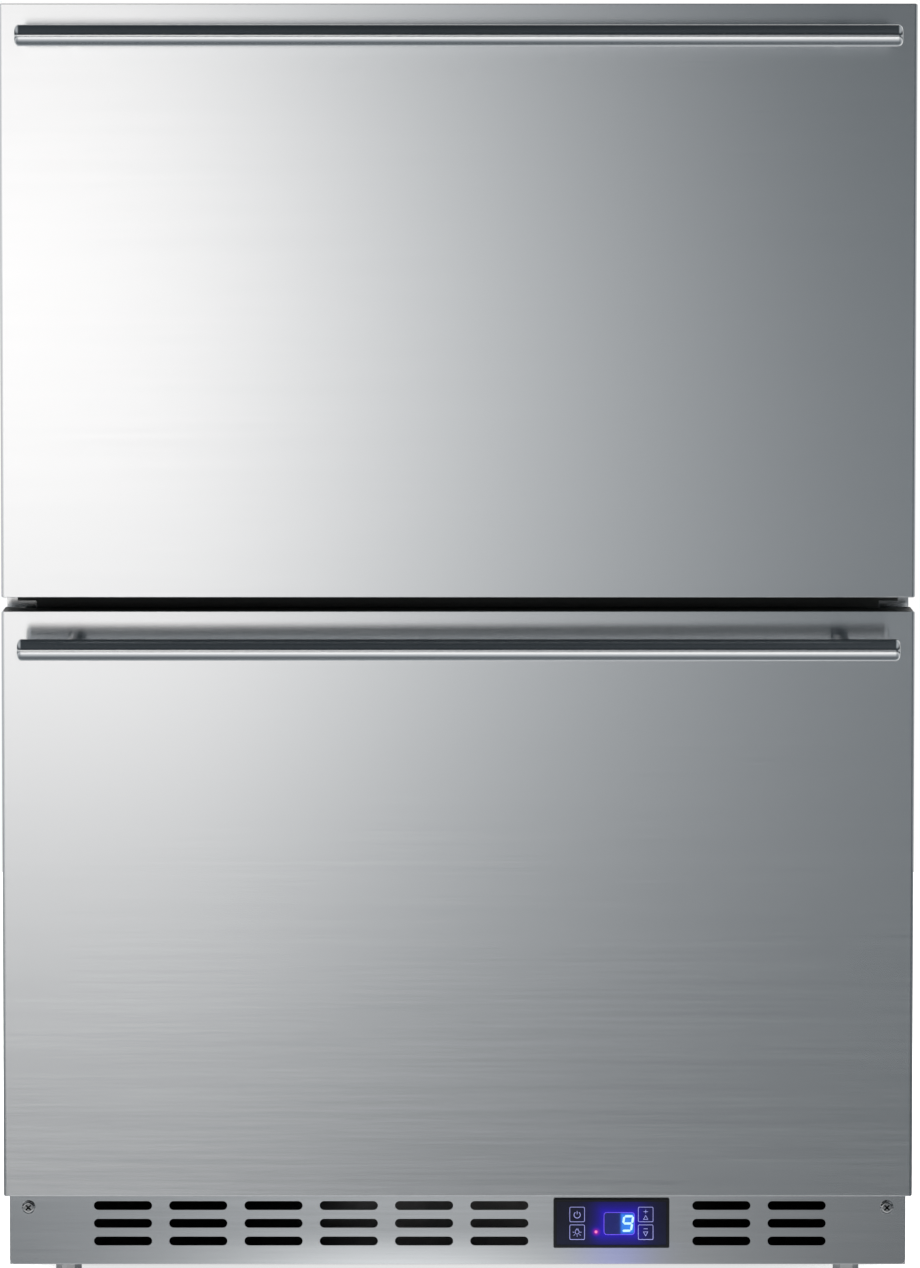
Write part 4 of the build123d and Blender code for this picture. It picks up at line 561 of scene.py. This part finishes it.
def background():
    """White to the camera, through clear parts and, in metal, behind the object; elsewhere a room."""
    world = bpy.data.worlds.new("studio")
    bpy.context.scene.world = world
    world.use_nodes = True
    tree = world.node_tree
    tree.nodes.clear()

    def node(kind, *inputs, **settings):
        """The first output of a node whose first inputs are linked or set."""
        made = tree.nodes.new(kind)
        for key, value in settings.items():
            setattr(made, key, value)
        for socket, value in zip(made.inputs, inputs):
            feed(tree, value, socket)
        return made.outputs[0] if made.outputs else None

    def maths(operation, one, two):
        return node("ShaderNodeMath", one, two, operation=operation)

    def profile(part, stops):
        """Brightness by one part of the direction, smooth through its stops."""
        share = node("ShaderNodeMath", part, 0.5, 0.5, operation="MULTIPLY_ADD")  # -1 to 1 becomes 0 to 1
        level = node("ShaderNodeValToRGB", share)
        ramp = level.node.color_ramp
        ramp.interpolation = "CARDINAL"
        for value, brightness in stops[1:-1]:
            ramp.elements.new((value + 1) / 2).color = grey(brightness)
        ramp.elements[0].color = grey(stops[0][1])
        ramp.elements[-1].color = grey(stops[-1][1])
        return level

    direction = node("ShaderNodeTexCoord")
    split = node("ShaderNodeSeparateXYZ", direction).node
    x, y, z = (split.outputs[axis] for axis in "XYZ")
    lean = maths("MULTIPLY", maths("MAXIMUM", maths("SUBTRACT", z, LEAN_START), 0), LEAN)
    sideways = profile(maths("ADD", x, lean), ACROSS)
    wall = maths("MULTIPLY", maths("MULTIPLY", sideways, profile(z, HEIGHT)), WALL_LEVEL)
    ground = maths("MULTIPLY", maths("MULTIPLY", profile(x, NEARBY), profile(z, GROUND)), GROUND_LEVEL)
    overhead = maths("MULTIPLY", profile(x, SOFT_BOXES), profile(z, OVERHEAD))
    level = maths("ADD", maths("ADD", wall, ground), overhead)
    tinted = node("ShaderNodeCombineColor", *(maths("POWER", level, power) for power in TINT))
    room = node("ShaderNodeBackground", tinted)
    white = node("ShaderNodeBackground", grey(1))
    path = node("ShaderNodeLightPath").node
    seen = maths("MAXIMUM", path.outputs["Is Camera Ray"], path.outputs["Is Transmission Ray"])
    mirrored = maths("MULTIPLY", path.outputs["Is Glossy Ray"], profile(y, BEHIND))
    seen = maths("MAXIMUM", seen, maths("MULTIPLY", mirrored, profile(z, BACKDROP)))
    node("ShaderNodeOutputWorld", node("ShaderNodeMixShader", seen, room, white))


FLOOR_SIDE = 1.3
FLOOR_FRONT, FLOOR_BACK = -0.55, 1.9
FLOOR_GLOW = 0.75  # with the lamps' light it makes the floor white


def floor():
    """Pale floor under and around the object."""
    s = Shader("floor", Roughness=0.9, Base_Color=grey(0.92), Emission_Color=grey(1))
    path = s.node("ShaderNodeLightPath")
    seen = s.maths("MAXIMUM", path.outputs["Is Camera Ray"], path.outputs["Is Transmission Ray"])
    s.link(s.maths("MULTIPLY", seen, FLOOR_GLOW), "Emission Strength")
    corners = [(-FLOOR_SIDE, FLOOR_FRONT, 0), (FLOOR_SIDE, FLOOR_FRONT, 0),
               (FLOOR_SIDE, FLOOR_BACK, 0), (-FLOOR_SIDE, FLOOR_BACK, 0)]
    made = add_sheet("floor", corners, s.material)
    made.visible_glossy = False


def card(name, place, width, height, colour, strength):
    """Clear card in front of the toe grille that glows by a pattern; only metal shows it."""
    s = Shader(name)
    glow = s.node("ShaderNodeEmission")
    glow.inputs["Color"].default_value = colour
    s.link(strength(s), glow.inputs["Strength"])
    clear_and_glow = s.node("ShaderNodeAddShader")
    s.link(glow.outputs["Emission"], clear_and_glow.inputs[0])
    s.link(s.node("ShaderNodeBsdfTransparent").outputs["BSDF"], clear_and_glow.inputs[1])
    s.link(clear_and_glow.outputs["Shader"], s.tree.nodes["Material Output"].inputs["Surface"])
    x, y, z = place
    corners = [(x + across * width / 2, y, z + up * height / 2)
               for across, up in ((-1, -1), (1, -1), (1, 1), (-1, 1))]
    made = add_sheet(name, corners, s.material)
    made.visible_camera = False
    made.visible_diffuse = False
    made.visible_shadow = False


def toe_glow(s):
    """Even glow, with a wide soft spot and a narrower one that is brighter low down."""
    even = 0.115
    wide = s.maths("MULTIPLY", s.bell(x=-0.03, width=0.22), 0.28)
    by_height = s.ramp(s.along("Z"), (0.036, 0.015), (0, 0.46))
    narrow = s.maths("MULTIPLY", s.bell(x=-0.042, width=0.125), by_height)
    return s.maths("ADD", s.maths("ADD", narrow, wide), even)


BLUE_X = 0.106  # middle of the blue sheen under the display


def blue_glow(s):
    return s.bell(x=BLUE_X, width=0.024)


MIDDLE = (0, 0, 0.45)
LAMPS = (  # name, place, target, diameter, watts
    ("key", (-1.6, -2.2, 2.0), MIDDLE, 1.6, 60),
    ("fill", (1.9, -1.6, 1.2), MIDDLE, 1.6, 30),
    ("rear", (0.6, 2.4, 1.8), MIDDLE, 1.8, 55),
    ("top", (0, 0, 2.6), (0, 0, 0.8), 1.6, 40),
)


def lamp(name, place, target, size, power):
    """Round soft lamp that faces its target and isn't itself seen in metal."""
    data = bpy.data.lights.new(name, "AREA")
    data.shape = "DISK"
    data.size = size
    data.energy = power
    made = add_object(name, data)
    made.location = place
    made.rotation_euler = (Vector(target) - Vector(place)).to_track_quat("-Z", "Y").to_euler()
    made.visible_glossy = False
    made.visible_camera = False


def camera():
    data = bpy.data.cameras.new("camera")
    data.sensor_width = SENSOR
    data.lens = FOCAL / IMAGE_HEIGHT * SENSOR
    data.shift_x = SHIFT_X / IMAGE_HEIGHT
    data.shift_y = SHIFT_Y
    made = add_object("camera", data)
    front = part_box("upper_front_skin")[0][1]
    made.location = (CAMERA_X, front - CAMERA_DISTANCE, CAMERA_HEIGHT)
    made.rotation_euler = (radians(90 - CAMERA_TILT), 0, 0)
    bpy.context.scene.camera = made


background()
floor()
card("toe_card", place=(0, -0.3, 0.033), width=0.7, height=0.062, colour=grey(1), strength=toe_glow)
card("blue_card", place=(BLUE_X, -0.27, 0.026), width=0.12, height=0.018, colour=(0, 0.012, 0.28, 1),
     strength=blue_glow)
for settings in LAMPS:
    lamp(*settings)
camera()
scene = bpy.context.scene
scene.view_settings.view_transform = "Standard"
